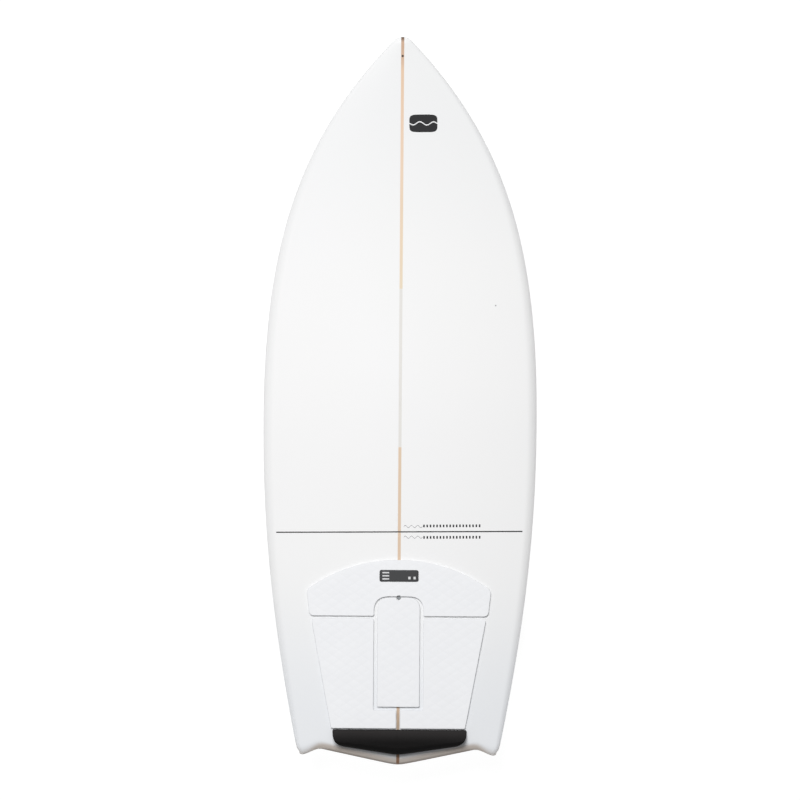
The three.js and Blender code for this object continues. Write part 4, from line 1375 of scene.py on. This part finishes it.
def kicker_paint(wire):
    """Black foam, with painted light on the front of the ramp and painted shade behind it."""
    painted = eva_paint("353333", "2a2828", "1d1c1c", "242222", 0.8)(wire)
    x, _, _ = object_place(wire).parts()
    # Painted light and shade: lighter at the front of the ramp, where the lamp falls, and darker behind
    # it.
    ramp = x.rise(MIDDLE - KICKER_FRONT - KICKER_SHADE_REACH, MIDDLE - KICKER_FRONT)
    painted["Base Color"] = ramp.mix(tint("131212"), painted["Base Color"])
    return painted


kicker_corners = [(KICKER_FRONT, KICKER_LEFT, 0.003), (KICKER_FRONT, KICKER_RIGHT, 0.003)]
kicker_corners += [(float(kicker_back(KICKER_RIGHT)), KICKER_RIGHT, 0.024), (KICKER_BACK, 0, 0.014)]
kicker_corners += [(float(kicker_back(KICKER_LEFT)), KICKER_LEFT, 0.024)]
black_foam = material("kicker_foam", {"Specular IOR Level": 0.1}, kicker_paint)
kicker_outline = rounded_outline(kicker_corners)
kicker_look = (GROOVE_DEPTH, black_foam, 0.0025, KICKER_EDGE)
kicker = moulded_pad("pad_kicker_foam", kicker_outline, kicker_top, pad_underside, *kicker_look)
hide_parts("pad_kicker")
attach(kicker, "board")

# ---- Pad label ---------------------------------------------------------------------------------------
# A thin moulded patch glued on the front pad, dark grey with a plain pattern of light bars.

LABEL_STATION = 1.0366
LABEL_LENGTH = 0.0225
LABEL_WIDTH = 0.075
LABEL_ROUND = 0.004
LABEL_THICKNESS = 0.0008
LABEL_LIFT = 2 * GAP + PAD
LABEL_BAR_PITCH = 0.006


def label_top(station, y):
    return deck_height(station, y) + LABEL_LIFT + LABEL_THICKNESS


def label_underside(station, y):
    return deck_height(station, y) + LABEL_LIFT


def bar_mask(value, middle, half):
    """1 within half a width of the middle."""
    return 1 - abs(value - middle).rise(0.9 * half, 1.1 * half)


def label_paint(wire):
    place = object_place(wire)
    x, y, _ = place.parts()
    along = x - (MIDDLE - LABEL_STATION)
    nearest = along - along.math("ROUND", along / LABEL_BAR_PITCH) * LABEL_BAR_PITCH
    left_bars = bar_mask(nearest, 0.0, 0.0013) * bar_mask(y, 0.0255, 0.0065) * bar_mask(along, 0.0, 0.0078)
    dots = bar_mask(along, -0.004, 0.0025) * bar_mask(abs(y + 0.025), 0.005, 0.0022)
    marks = (left_bars + dots).math("MINIMUM", left_bars + dots, 1.0)
    skin = noise(place, 800.0)
    colour = marks.mix(skin.mix(tint("252628"), tint("343537")), tint("d8d9da"))
    return {"Base Color": colour, "Normal": bump(skin, 0.3, 0.0001)}


label_corners = []
for a, b in ((1, 1), (-1, 1), (-1, -1), (1, -1)):
    label_corners.append((LABEL_STATION + a * LABEL_LENGTH / 2, b * LABEL_WIDTH / 2, LABEL_ROUND))
label_look = material("label_patch", {"Roughness": 0.6}, label_paint)
label_outline = rounded_outline(label_corners, 0.0015)
label_fit = (label_top, label_underside, 0.0, label_look, 0.004, 0.0003)
label = moulded_pad("pad_label_patch", label_outline, *label_fit)
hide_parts("pad_label")
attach(label, "board")
bpy.data.objects.remove(hull_block)

# ---- Finish ------------------------------------------------------------------------------------------
# The outer sizes before and after.

visual_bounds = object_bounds()
sizes = {"cad": [list(c) for c in cad_bounds], "visual": [list(c) for c in visual_bounds]}
